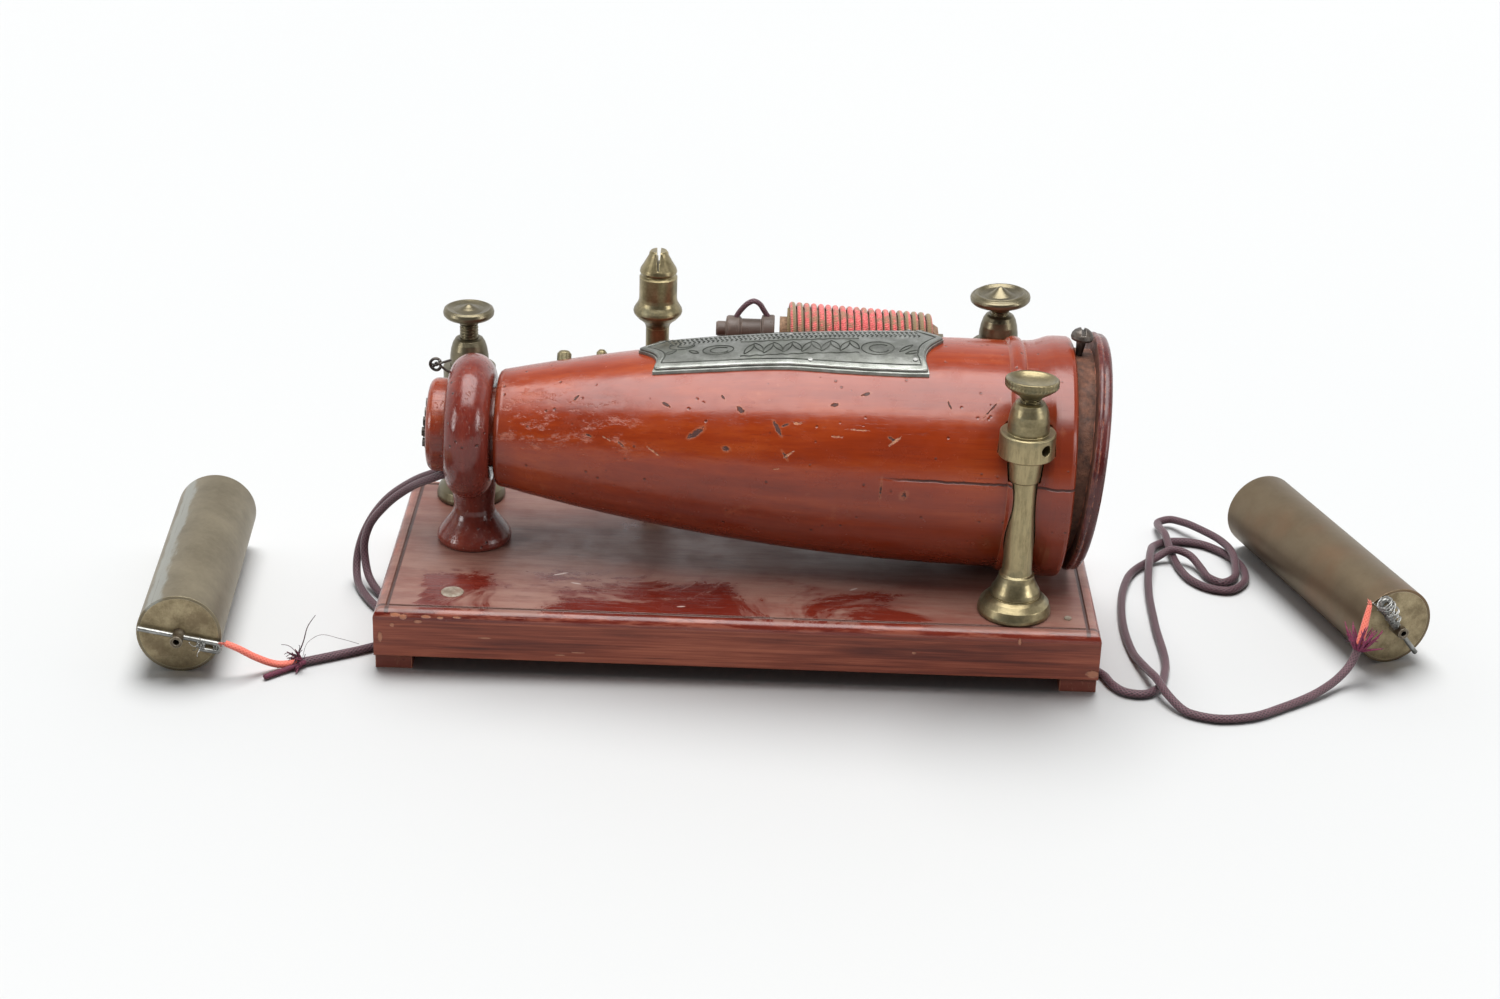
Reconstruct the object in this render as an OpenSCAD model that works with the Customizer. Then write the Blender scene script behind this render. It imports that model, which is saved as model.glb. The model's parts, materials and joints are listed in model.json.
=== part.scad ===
// Medical electromagnetic machine: induction coil in a turned wooden barrel on a board,
// with an interrupter behind it, screw terminals, and two brass hand electrodes on cords.
// Millimetres. X runs along the barrel, Y from the front of the board to its back, Z up.
// The origin is on the standing surface, under the centre of the board.

/* [Base board] */
// Length of the board
board_l = 254; // [252:1:258]
// Depth of the board, front to back
board_w = 110; // [110:1:114]
// Thickness of the board
board_t = 17.7; // [17:0.1:18.5]
// Radius of the rounded top edges
board_edge_r = 3; // [2:0.5:3]
// Height of the feet
foot_h = 5; // [4.5:0.5:6]
// Length of a foot along the board
foot_l = 12.8; // [11:0.1:14]
// Depth of a foot
foot_w = 10; // [8:0.5:10]

/* [Barrel] */
// Height of the barrel's axis over the board at mid length
axis_h = 45.3; // [45.3:0.1:45.6]
// Slope of the barrel's axis, down to the right, in degrees
barrel_tilt = 1.05; // [1:0.01:1.1]
// Radius of the belly where it is widest
belly_r = 40.7; // [40.3:0.1:40.8]
// Radius of the lip at the mouth
lip_r = 43.2; // [43:0.1:43.2]
// Radius of the bore through the neck and the former
core_bore_r = 10.6; // [10.4:0.1:11]
// Clearance of the sliding core, on the radius
core_gap = 0.1; // [0.05:0.01:0.1]

/* [Cover] */
// Radius of the cover disc
cover_r = 43.1; // [42:0.1:43.2]
// Radius of the cover's spigot
spigot_r = 36.6; // [34:0.1:37]
// Lean of the cover, top outward, in degrees
cover_lean = 4.9; // [4.7:0.1:5]

/* [Terminals] */
// Radius of a terminal's collar
collar_r = 9.7; // [9.5:0.1:9.8]
// Radius of the wire hole through the collar
wire_hole_r = 2; // [1.8:0.1:2.1]
// Radius of the clamping screw
stem_r = 3.4; // [3:0.1:3.5]
// Pitch of the clamping screws
screw_pitch = 1.25; // [1:0.05:1.5]

/* [Interrupter and magnet] */
// Height of the magnet's axis over the board
magnet_h = 71.4; // [71:0.1:71.8]
// Distance of the magnet's axis behind the barrel's
magnet_y = 42; // [42:0.1:42.5]
// Turns of the outer winding, less a quarter turn
winding_turns = 20; // [16:1:20]
// Pitch of the outer winding
winding_pitch = 2.64; // [2.62:0.01:2.64]
// Radius of the winding's covered wire
winding_wire_r = 1.1; // [1:0.01:1.1]

/* [Cords and handles] */
// Radius of the braided cords
cord_r = 1.5; // [1.4:0.05:1.5]
// Outer radius of a handle
handle_r = 14.6; // [14.4:0.1:14.8]
// Length of a handle
handle_l = 100; // [95:1:105]

/* [Hidden] */
$fn = 72;

top_z = foot_h + board_t;
fit = 0.05;
eps = 0.01;

wood_red = "#7a2415";
wood_dark = "#571310";
wood_raw = "#6a4630";
brass = "#8a8058";
iron = "#55534e";
steel = "#a5a49e";
pewter = "#7f837c";
copper = "#a35a34";
cord_purple = "#46242f";
coral = "#d9534c";

// Terminal places: x, y, how much lower the post is, direction of its wire hole, how far unscrewed
FRONT_RIGHT = [97.2, -38.5, 0, -52, 0];
BACK_RIGHT = [92.1, 41, -0.9, 40, 0.6];
BACK_LEFT = [-103.2, 42, 16, 140, 4.6];
PILLAR = [-33.5, magnet_y];
STUDS = [FRONT_RIGHT, BACK_RIGHT, BACK_LEFT, PILLAR];

// Barrel stations along its axis, from mid length
neck_end_s = -107.5;
shoulder_s = -88.6;
shoulder_round = 3;
belly_s = 85;
belly_k = 6.66e-4;
bead_s = 94.4;
bead_half = 2.9;
bead_peak_r = 42.3;
bead_arc_r = 3.62;
lip_end_s = 114.5;
mouth_step_s = 107.9;
mouth_bore_r = 40.3;
cavity_s = -80;
cavity_r0 = 17;
cavity_r1 = 29;
neck_r = 14.3;
belly_steps = 22;
standard_s = -98;
cap_s = [-113, -106.3];
cap_r = 16.8;
core_s = [-113.2, 90];
ring_r = 18;
ring_section_r = 8.2;
ring_bore_r = 14.5;
exit_drop = 18.9;
exit_gap = 1.8;
stud_r = 2.4;
stud_l = 16.5;
nut_recess_r = 6.6;
nut_recess_h = 5;
wire_z = foot_h + 1.1;

// Barrel radius at station s along the belly
function belly(s) = belly_r - belly_k * pow(belly_s - s, 2);
function belly_station(i) =
    shoulder_s + shoulder_round + i * (bead_s - bead_half - shoulder_s - shoulder_round) / belly_steps;
// Cavity radius at station s
function cavity(s) = cavity_r0 + (cavity_r1 - cavity_r0) * (s - cavity_s) / (mouth_step_s - cavity_s);
// Points of an arc about c
function arc(c, r, from, to, n) =
    [for (i = [0:n]) let (a = from + (to - from) * i / n) c + r * [cos(a), sin(a)]];
function unit(v) = v / norm(v);

module barrel_frame() {
    translate([0, 0, top_z + axis_h]) rotate([0, 90 + barrel_tilt, 0]) children();
}

module on_board(p) {
    translate([p[0], p[1], top_z]) children();
}

// A point on the barrel's surface: station s, angle phi from the top towards the back
module on_barrel(s, phi, depth = 0) {
    barrel_frame() rotate([0, 0, 180 - phi]) translate([belly(s) - depth, 0, s]) rotate([0, 90, 0])
        children();
}

// Closed tube through points p, swept with a ring at each point
function path_tangent(p, i) = let (n = len(p) - 1)
    i == 0 ? unit(p[1] - p[0]) : i == n ? unit(p[n] - p[n - 1])
        : unit(unit(p[i + 1] - p[i]) + unit(p[i] - p[i - 1]));
function carried(v, t) = unit(v - (v * t) * t);
function path_normals(p, i, done) = i == len(p) ? done
    : path_normals(p, i + 1, concat(done, [carried(done[i - 1], path_tangent(p, i))]));
function first_normal(t) = carried(abs(t[2]) > 0.7 ? [0, 1, 0] : [0, 0, 1], t);

module tube(p, r, sides) {
    last = len(p) - 1;
    normals = path_normals(p, 1, [first_normal(path_tangent(p, 0))]);
    points = [for (i = [0:last]) let (t = path_tangent(p, i), a = normals[i], b = cross(t, a))
        for (k = [0:sides - 1]) p[i] + r * (cos(360 * k / sides) * a + sin(360 * k / sides) * b)];
    walls = [for (i = [0:last - 1]) for (k = [0:sides - 1]) for (half = [0:1])
        let (k2 = (k + 1) % sides, low = i * sides, high = low + sides)
        half == 0 ? [low + k, high + k, low + k2] : [low + k2, high + k, high + k2]];
    caps = [for (k = [1:sides - 2]) for (end = [0:1])
        end == 0 ? [0, k, k + 1] : [last * sides, last * sides + k + 1, last * sides + k]];
    polyhedron(points, concat(walls, caps));
}

// Base board and feet
module rounded_slab_profile(w) {
    translate([-w / 2, 0]) square([w, board_t - board_edge_r]);
    translate([board_edge_r - w / 2, 0]) square([w - 2 * board_edge_r, board_t]);
    for (side = [-1, 1]) translate([side * (w / 2 - board_edge_r), board_t - board_edge_r])
        circle(r = board_edge_r);
}

module groove_frame() {
    inset = 4;
    width = 1.2;
    depth = 0.5;
    l = board_l - 2 * inset;
    w = board_w - 2 * inset;
    translate([0, 0, board_t - depth]) difference() {
        translate([-l / 2, -w / 2, 0]) cube([l, w, 2]);
        translate([width - l / 2, width - w / 2, -1]) cube([l - 2 * width, w - 2 * width, 4]);
    }
}

module base_board() {
    color(wood_red) difference() {
        translate([0, 0, foot_h]) difference() {
            intersection() {
                rotate([90, 0, 90]) translate([0, 0, -board_l / 2]) linear_extrude(board_l)
                    rounded_slab_profile(board_w);
                rotate([90, 0, 0]) translate([0, 0, -board_w / 2]) linear_extrude(board_w)
                    rounded_slab_profile(board_l);
            }
            groove_frame();
        }
        for (p = STUDS) on_board(p) {
            translate([0, 0, -board_t - 1]) cylinder(r = stud_r + 0.1, h = board_t + 2);
            translate([0, 0, -board_t - 1]) cylinder(r = nut_recess_r, h = nut_recess_h + 1);
        }
        for (p = wood_screw_places()) on_board(p) {
            translate([0, 0, -board_t - 1]) cylinder(r = 1.6, h = board_t + 2);
            translate([0, 0, -board_t - 1]) cylinder(r = 4.2, h = 5);
        }
        on_board(PLUG) translate([0, 0, -6]) cylinder(r = 4, h = 7);
        on_board(BOARD_PIN) translate([0, 0, -6]) cylinder(r = 1.3, h = 7);
        for (p = flange_screw_places()) on_board(p) translate([0, 0, -8]) cylinder(r = 1.05, h = 9);
        for (w = WIRES) wire_run(w, 2, 0);
    }
}

PLUG = [-101, -39.1];
BOARD_PIN = [116, -43.1];
STANDARD_SCREW = [standard_s, 5.5];
function barrel_screw_places() = [for (side = [-1, 1]) [103, 7 * side]];
function wood_screw_places() = concat([STANDARD_SCREW], barrel_screw_places());

module foot(side_x, side_y) {
    inset = 0.5;
    x = side_x * (board_l / 2 - inset - foot_l / 2);
    y = side_y * (board_w / 2 - inset - foot_w / 2);
    color(wood_dark) translate([x - foot_l / 2, y - foot_w / 2, 0]) cube([foot_l, foot_w, foot_h]);
}

// Wires under the board, between the studs, in grooves
WIRES = [[BACK_LEFT, PILLAR], [BACK_RIGHT, FRONT_RIGHT], [PILLAR, BACK_RIGHT]];

module wire_run(ends, groove_w, wire_r) {
    a = [ends[0][0], ends[0][1]];
    b = [ends[1][0], ends[1][1]];
    l = norm(b - a);
    clear = wire_r > 0 ? 5.8 : 0;
    translate([a[0], a[1], 0]) rotate([0, 0, atan2(b[1] - a[1], b[0] - a[0])]) {
        if (wire_r > 0) translate([clear, 0, wire_z]) rotate([0, 90, 0])
            cylinder(r = wire_r, h = l - 2 * clear);
        if (wire_r == 0) translate([0, -groove_w / 2, foot_h - 1]) cube([l, groove_w, 3]);
    }
}

module base_wires() {
    color(copper) for (w = WIRES) wire_run(w, 2, 0.7);
}

module board_plugs() {
    color(brass) {
        on_board(PLUG) translate([0, 0, -5.9]) cylinder(r = 3.97, h = 6.1);
        on_board(BOARD_PIN) translate([0, 0, -5.9]) cylinder(r = 1.27, h = 6.4);
    }
}

// Ring standard that holds the neck
foot_profile = [[0, 0], [12.7, 0], [13.4, 0.6], [13.6, 1.6], [13.4, 2.8], [12.8, 4], [11.9, 5.3],
    [10.8, 6.8], [9.6, 8.4], [8.5, 10], [7.7, 11.6], [7.3, 13.4], [7.4, 15.4], [7.7, 18], [8, 21.5],
    [8.1, 25], [8.1, 28.5], [0, 28.5]];

module standard() {
    color(wood_dark) difference() {
        union() {
            barrel_frame() translate([0, 0, standard_s]) rotate_extrude() difference() {
                translate([ring_r, 0]) circle(r = ring_section_r);
                translate([0, -ring_section_r - 1]) square([ring_bore_r, 2 * ring_section_r + 2]);
            }
            on_board(STANDARD_SCREW) rotate_extrude() polygon(foot_profile);
        }
        on_board(STANDARD_SCREW) translate([0, 0, -1]) cylinder(r = 1.6, h = 22);
        for (side = [-1, 1]) translate([-112, side * exit_gap, CORD_EXIT_Z]) rotate([0, 90, 0])
            cylinder(r = cord_r + 0.2, h = 112 + CORD_EXIT_X);
        translate([-110, HOOK[1], HOOK[2]]) rotate([0, 90, 0]) cylinder(r = 0.55, h = 7.1);
    }
}

module wood_screw(p, head_r, length) {
    on_board(p) translate([0, 0, -board_t]) {
        translate([0, 0, 0.5]) cylinder(r = head_r, h = 3.4);
        translate([0, 0, 3]) cylinder(r = 1.55, h = length - 3);
    }
}

module standard_screw() {
    color(iron) wood_screw(STANDARD_SCREW, 4, board_t + 20);
}

module barrel_screws() {
    color(iron) for (p = barrel_screw_places()) wood_screw(p, 3.8, board_t + 8.4);
}

// Barrel shell
module post_relief(t) {
    gap = 0.3;
    on_board(t) translate([0, 0, -t[2]]) {
        translate([0, 0, 16]) cylinder(r1 = 5.3 + gap, r2 = waist_r + 0.1 + gap, h = waist_z - 15.7);
        translate([0, 0, waist_z]) cylinder(r1 = 5.6 + gap, r2 = 6.2 + gap, h = collar_z[0] - waist_z);
        translate([0, 0, collar_z[0] - gap])
            cylinder(r = collar_r + gap, h = collar_z[1] - collar_z[0] + 2 * gap);
        translate([0, 0, collar_z[1]]) cylinder(r = 7.25 + gap, h = 10);
    }
}

barrel_profile = concat(
    [[core_bore_r, neck_end_s], [neck_r, neck_end_s], [neck_r, shoulder_s]],
    arc([belly(shoulder_s + shoulder_round) - shoulder_round, shoulder_s + shoulder_round],
        shoulder_round, -90, -18, 4),
    [for (i = [0:belly_steps]) [belly(belly_station(i)), belly_station(i)]],
    [for (i = [0:6]) let (d = bead_half * (i / 3 - 1))
        [bead_peak_r - bead_arc_r + sqrt(pow(bead_arc_r, 2) - d * d), bead_s + d]],
    [[41, 98]],
    [for (i = [0:5]) [41 + (lip_r - 41) * (1 - cos(36 * i)) / 2, 99.5 + 1.8 * i]],
    [[lip_r, 112.8], [lip_r - 0.4, 113.9], [41.9, lip_end_s], [mouth_bore_r, lip_end_s],
        [mouth_bore_r, mouth_step_s],
     [cavity_r1, mouth_step_s], [cavity_r0, cavity_s], [core_bore_r, cavity_s]]);

module barrel_shell() {
    color("#9c3a17") difference() {
        barrel_frame() rotate_extrude() polygon(barrel_profile);
        post_relief(FRONT_RIGHT);
        post_relief(BACK_RIGHT);
        for (p = barrel_screw_places()) on_board(p) translate([0, 0, -1]) cylinder(r = 1.6, h = 9.6);
        for (p = PLATE_PINS) on_barrel(p[0], p[1], 1.5) cylinder(r = pin_r + 0.03, h = 3);
        for (p = REAR_STUDS) on_barrel(p[0], p[1], 2) cylinder(r = p[2] + 0.03, h = 8);
    }
}

// End cap, with the counterbore that takes the neck
module end_cap() {
    edge = 3;
    color("#a2421f") barrel_frame() rotate_extrude() polygon(concat(
        [[core_bore_r, cap_s[0]]],
        arc([cap_r - edge, cap_s[0] + edge], edge, -90, 0, 5),
        [[cap_r, cap_s[1]], [neck_r + fit, cap_s[1]], [neck_r + fit, neck_end_s - fit],
            [core_bore_r, neck_end_s - fit]]));
}

// Coil inside the barrel
former_s = [-79.8, 96];
former_r = 12.4;
left_cheek = [-79.8, -76.8];
right_cheek = [93, 96];

module ring_solid(r_in, r_out, s) {
    barrel_frame() translate([0, 0, s[0]]) difference() {
        cylinder(r = r_out, h = s[1] - s[0]);
        translate([0, 0, -1]) cylinder(r = r_in, h = s[1] - s[0] + 2);
    }
}

module coil_former() {
    color(wood_raw) barrel_frame() rotate_extrude() polygon([
        [core_bore_r, former_s[0]], [cavity_r0 - 0.3, left_cheek[0]], [cavity_r0 - 0.3, left_cheek[1]],
        [former_r, left_cheek[1]], [former_r, right_cheek[0]],
        [cavity(right_cheek[0]) - 0.1, right_cheek[0]], [cavity(right_cheek[0]) - 0.1, right_cheek[1]],
        [core_bore_r, former_s[1]]]);
}

module primary_winding() {
    color(copper) ring_solid(former_r + fit, 15.5, [left_cheek[1] + 0.1, right_cheek[0] - 0.1]);
}

module secondary_winding() {
    color("#3f6b4a") ring_solid(15.6, 19.3, [-40, right_cheek[0] - 0.1]);
}

// Sliding core, a bundle of iron wires whose ends stand proud at the left
module iron_core() {
    wire_pitch = 4.1;
    wire_r = 1.6;
    color(iron) barrel_frame() {
        translate([0, 0, core_s[0]]) cylinder(r = core_bore_r - core_gap, h = core_s[1] - core_s[0]);
        for (q = [-2:2]) for (w = [-2:2]) if (abs(q + w) <= 2)
            translate([wire_pitch * (q + w / 2), wire_pitch * w * sqrt(3) / 2,
                core_s[0] - 1.3 - 0.35 * cos(97 * q + 61 * w)])
                cylinder(r = wire_r, h = 3);
    }
}

// Cover, with a spigot, standing ajar in the mouth
COVER = [124.1, 0, top_z + axis_h];
spigot_l = 8;
cover_t = 5;
cover_screw_w = -10.2;
spigot_end_w = -cover_t - spigot_l;

module cover_frame() {
    translate(COVER) rotate([0, 90 + cover_lean, 0]) children();
}

cover_profile = concat(
    [[0, spigot_end_w], [spigot_r, spigot_end_w], [spigot_r, -cover_t], [cover_r - 1.2, -cover_t]],
    arc([cover_r - 1.2, -cover_t + 1.1], 1.1, -60, 40, 4),
    [[cover_r - 0.6, -3]],
    arc([cover_r - 2.4, -1.9], 1.9, -5, 90, 5),
    [[34, 0], [33.2, -0.8], [32, -0.8], [31.2, 0]],
    [for (i = [0:5]) let (r = 30 - 6 * i) [r, 1.8 * (1 - pow(r / 30, 2))]]);

module cover_screw_solid(extra) {
    translate([0, 0, cover_screw_w]) rotate([0, -90, 0]) {
        translate([0, 0, 31 - extra]) cylinder(r1 = 0.5 + extra, r2 = 1.9 + extra, h = 12);
        if (extra == 0) difference() {
            translate([0, 0, 42.6]) rotate_extrude()
                polygon(concat([[0, 0], [3.7, 0]],
                [for (i = [0:4]) [4 * cos(20 * i), 0.8 + 3.4 * sin(20 * i)]], [[0, 4.2]]));
            translate([-0.7, -5, 45]) cube([1.4, 10, 3]);
        }
    }
}

module cover_disc() {
    color(wood_dark) cover_frame() difference() {
        rotate_extrude() polygon(cover_profile);
        cover_screw_solid(0.05);
    }
}

module cover_screw() {
    color(iron) cover_frame() cover_screw_solid(0);
}

// Nameplate on the barrel, left bare, with a raised rim and scooped, pointed ends
plate_t = 2;
plate_rim_t = 2.25;
plate_edge_t = 1.2;
plate_gap = 0.03;
// Insets of the rim's outer and inner edge from the plate's outline
rim_insets = [0.9, 2.3];
plate_mid = 2.2;
plate_ends = [-33.4, 62.9];
// Half width of the plate by station
PLATE_HALF = [[-33.4, 15.1], [-24, 15.7], [-11, 16.4], [2.5, 16.7], [14, 17.3], [28.5, 19.2], [41, 20.5],
    [54.5, 21.2], [62.9, 21.2]];
// Outline of an end: share of the half width from the middle, reach beyond the corner
PLATE_SCOOP = [[0, 5.6], [0.1, 4.1], [0.2, 2.5], [0.3, 1.1], [0.42, -0.2], [0.58, -1.1], [0.74, -1.1],
    [0.9, -0.3], [1, 0]];
pin_r = 0.8;
// Pins: station, angle from the top towards the back, height over the barrel
PLATE_PINS = [[21.5, -19.8, 2.6], [58, -19, 2.4], [14.5, 9.5, 2.4], [-28, 22, 2.4], [57, 24, 2.4]];
REAR_STUDS = [[-66.3, 35, 2.6, 3.7], [-52.9, 35, 1.9, 2.3]];

function plate_end(k, inset) = [for (i = [-8:8])
    let (q = PLATE_SCOOP[abs(i)], half = lookup(plate_ends[k], PLATE_HALF) - inset)
        [plate_ends[k] + (2 * k - 1) * (q[1] - inset), plate_mid + sign(i) * q[0] * half]];
function plate_side(side, inset) = [for (i = [1:11])
    let (s = plate_ends[0] + inset + (plate_ends[1] - plate_ends[0] - 2 * inset) * i / 12)
        [s, plate_mid + side * (lookup(s, PLATE_HALF) - inset)]];
function reversed(p) = [for (i = [len(p) - 1:-1:0]) p[i]];

// The part of a layer over the barrel, between two heights, inside the plate's outline
module plate_layer(low, high, inset) {
    first = 5;
    last = 20;
    barrel_frame() intersection() {
        rotate_extrude() polygon(concat(
            [for (i = [first:last]) [belly(belly_station(i)) + high, belly_station(i)]],
            [for (i = [last:-1:first]) [belly(belly_station(i)) + low, belly_station(i)]]));
        rotate([0, -90, 0]) linear_extrude(60) polygon(concat(plate_side(-1, inset), plate_end(1, inset),
            reversed(plate_side(1, inset)), reversed(plate_end(0, inset))));
    }
}

module nameplate() {
    color(pewter) difference() {
        union() {
            plate_layer(plate_gap, plate_edge_t, 0);
            plate_layer(plate_gap, plate_rim_t, rim_insets[0]);
        }
        plate_layer(plate_t, plate_rim_t + 1, rim_insets[1]);
        for (p = PLATE_PINS) on_barrel(p[0], p[1], 1) cylinder(r = pin_r + 0.03, h = 5);
    }
}

module nameplate_pins() {
    color(steel) for (p = PLATE_PINS) on_barrel(p[0], p[1], 1.4) cylinder(r = pin_r, h = 1.4 + p[2]);
}

module rear_studs() {
    color(brass) for (p = REAR_STUDS) on_barrel(p[0], p[1], 1.9) {
        cylinder(r = p[2], h = 1.9 + p[3] - 1);
        translate([0, 0, 1.9 + p[3] - 1]) cylinder(r1 = p[2], r2 = p[2] - 0.8, h = 1);
    }
}

// Twisted wire hook above the cap
HOOK = [-110.9, 4, 91.5];
hook_eye_r = 2;
hook_wire_r = 0.5;

module wire_hook() {
    color(steel) translate(HOOK) {
        rotate([90, 0, 0]) rotate_extrude() translate([hook_eye_r, 0]) circle(r = hook_wire_r, $fn = 24);
        translate([hook_eye_r, 0, 0]) rotate([0, 90, 0]) cylinder(r = hook_wire_r, h = 5.8);
    }
}

// Screw terminals
collar_z = [60.5, 69.4];
waist_r = 4.65;
waist_z = 50.8;
dome_top_z = 80.5;
wire_hole_z = 65.4;
seat_z = 70.5;
stem_foot_z = 72;
stem_tip_z = 67.5;
tip_r = 1.8;
knob_z = 82.3;
knob_bore_h = 3.6;
spindle_r = 2.5;
knob_gap = 1.1;

post_base = [[0, 0], [12.3, 0], [12.9, 0.8], [12.9, 1.8], [12.1, 4.4], [10.4, 6.2], [9.2, 7],
    [8.6, 7.2], [8.9, 7.8], [8.5, 9.2], [7.4, 11.2], [6.6, 13], [6.2, 14.4], [6.2, 15], [5.4, 15.6],
    [5.2, 18]];

function post_profile(drop) = concat(post_base,
    [[waist_r, waist_z - drop], [5.4, waist_z + 0.6 - drop], [5.6, waist_z + 2.2 - drop],
     [6.1, collar_z[0] - drop], [collar_r - 0.3, collar_z[0] - drop],
     [collar_r, collar_z[0] + 0.4 - drop], [collar_r, collar_z[1] - 0.4 - drop],
     [collar_r - 0.4, collar_z[1] - drop], [7.25, collar_z[1] - drop]],
    [for (i = [0:5]) [4.2 + 3.05 * cos(18 * i),
        collar_z[1] + 1 + (dome_top_z - collar_z[1] - 1) * sin(18 * i) - drop]],
    [[0, dome_top_z - drop]]);

module terminal_post(t) {
    color(brass) on_board(t) difference() {
        union() {
            rotate_extrude() polygon(post_profile(t[2]));
            translate([0, 0, -stud_l]) cylinder(r = stud_r, h = stud_l + 1);
        }
        translate([0, 0, seat_z - t[2]]) cylinder(r = stem_r + fit, h = 20);
        translate([0, 0, wire_hole_z - t[2]]) cylinder(r = tip_r + fit, h = 10);
        translate([0, 0, wire_hole_z - t[2]]) rotate([0, 90, t[3]])
            cylinder(r = wire_hole_r, h = 2 * collar_r + 4, center = true);
    }
}

// Thread drawn as grooves at the screw's pitch
function thread_profile(r, depth, from, to) = let (n = floor((to - from) / screw_pitch))
    [for (i = [0:n - 1]) for (k = [0:3]) let (z = from + screw_pitch * i)
        k == 0 ? [r, z] : k == 1 ? [r, z + 0.4 * screw_pitch]
            : k == 2 ? [r - depth, z + 0.65 * screw_pitch] : [r - depth, z + 0.75 * screw_pitch]];

module terminal_stem(t) {
    shift = t[4] - t[2];
    color(brass) on_board(t) translate([0, 0, shift]) rotate_extrude() polygon(concat(
        [[0, stem_tip_z], [tip_r, stem_tip_z], [tip_r, stem_foot_z]],
        thread_profile(stem_r, 0.4, stem_foot_z + 0.1, knob_z - knob_gap - 0.2),
        [[stem_r, knob_z - knob_gap - 0.1], [stem_r, knob_z - knob_gap], [spindle_r, knob_z - knob_gap],
            [spindle_r, knob_z + knob_bore_h], [0, knob_z + knob_bore_h]]));
}

knurled_knob = [[0, -0.6], [3.7, -0.6], [3.9, -0.2], [5, 0.7], [7, 1.9], [8.6, 3.1], [9.2, 4], [9.3, 4.4],
    [9.3, 6], [9.1, 6.3], [8.7, 6.5], [8.2, 6.2], [7, 5.3], [5, 4.6], [0, 4.3]];
double_rim_knob = [[0, -0.6], [3.9, -0.6], [4.2, 0.3], [6, 0.9], [10.3, 2.5], [10.9, 3.2], [11, 4.1],
    [10.8, 4.9], [10.2, 5.4], [9.6, 5.3], [9.3, 5.6], [9, 6.1], [8.5, 6.1], [7.4, 5.2], [6, 4.9],
    [4.6, 5.2], [3.2, 6], [2, 7], [1, 7.9], [0, 8.4]];
round_rim_knob = [[0, -0.6], [3.6, -0.6], [3.9, 0.1], [5.5, 0.8], [8.6, 2], [9.3, 2.8], [9.4, 3.8],
    [9, 4.9], [8, 5.4], [7.2, 5.1], [5.6, 4.7], [3.6, 5.1], [1.8, 5.9], [0.8, 6.5], [0, 6.8]];

// Lean of each knob on its bent stem, about X and about Y
front_right_lean = [-4.5, 1];
back_left_lean = [0, 0];
back_right_lean = [0, -3.5];

module terminal_knob(t, profile, lean) {
    color(brass) on_board(t) translate([0, 0, knob_z + t[4] - t[2]]) difference() {
        rotate([lean[0], lean[1], 0]) rotate_extrude() polygon(profile);
        translate([0, 0, -3]) cylinder(r = spindle_r + fit, h = 3 + knob_bore_h + fit);
    }
}

module stud_nuts() {
    color(brass) for (p = STUDS) on_board(p) translate([0, 0, nut_recess_h - board_t - 3]) difference() {
        cylinder(r = 5.2, h = 3, $fn = 6);
        translate([0, 0, -1]) cylinder(r = stud_r + 0.03, h = 5);
    }
}

// Contact pillar, its slotted head and the contact screw
contact_h = 53.4;
pillar_neck_z = 71.4;
contact_bore_r = 1.65;
pillar_profile = [[0, 0], [10, 0], [10.2, 1], [9.6, 2.4], [7, 4], [5, 7], [4.2, 11],
    [4.2, contact_h - 5], [5.2, contact_h - 4], [6.2, contact_h - 2.4], [6.6, contact_h],
    [6.2, contact_h + 2.4], [5.2, contact_h + 4], [4.3, contact_h + 5], [4.3, pillar_neck_z],
    [0, pillar_neck_z]];
head_profile = [[0, pillar_neck_z], [4.4, pillar_neck_z], [4.5, 72.1], [4.95, 73], [6.1, 74.2], [7.3, 75.1],
    [8.1, 76], [8.75, 76.8], [9, 77.7], [8.8, 78.6], [8.3, 79.5], [7.6, 80.6], [7.1, 81.8], [6.95, 83],
    [6.95, 91], [6.6, 91.3], [6, 91.8], [6, 92], [6.6, 92.5], [6.85, 93.1], [6.6, 94.2], [5.45, 96.1],
    [3.7, 99.2], [3.4, 100.4], [2.9, 101], [0, 101]];

module contact_pillar() {
    color(brass) on_board(PILLAR) difference() {
        union() {
            rotate_extrude() polygon(pillar_profile);
            translate([0, 0, -stud_l]) cylinder(r = stud_r, h = stud_l + 1);
        }
        translate([0, 0, pillar_neck_z - 8]) cylinder(r = 2, h = 10);
        translate([0, 0, contact_h]) rotate([0, 90, 0]) cylinder(r = contact_bore_r, h = 30, center = true);
    }
}

module pillar_head() {
    color(brass) on_board(PILLAR) difference() {
        union() {
            rotate_extrude() polygon(head_profile);
            translate([0, 0, pillar_neck_z - 7.9]) cylinder(r = 1.97, h = 9);
        }
        translate([-0.7, -10, 97.4]) cube([1.4, 20, 5]);
        translate([-0.35, -10, 94.9]) cube([0.7, 20, 4]);
    }
}

contact_screw_x = [-51, -0.15];
contact_knob_x = [-51, -46];

module contact_screw_stem() {
    color(brass) translate([contact_screw_x[0], magnet_y, top_z + contact_h]) rotate([0, 90, 0])
        cylinder(r = contact_bore_r - fit, h = contact_screw_x[1] - contact_screw_x[0]);
}

module contact_screw_knob() {
    color(brass) translate([contact_knob_x[0] - 1, magnet_y, top_z + contact_h])
        rotate([0, 90, 0]) difference() {
        rotate_extrude() polygon([[0, 0], [5.4, 0], [6, 0.6], [6, 4], [5.4, 4.6], [3, 6], [0, 6]]);
        translate([0, 0, 1]) cylinder(r = contact_bore_r, h = 8);
    }
}

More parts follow.
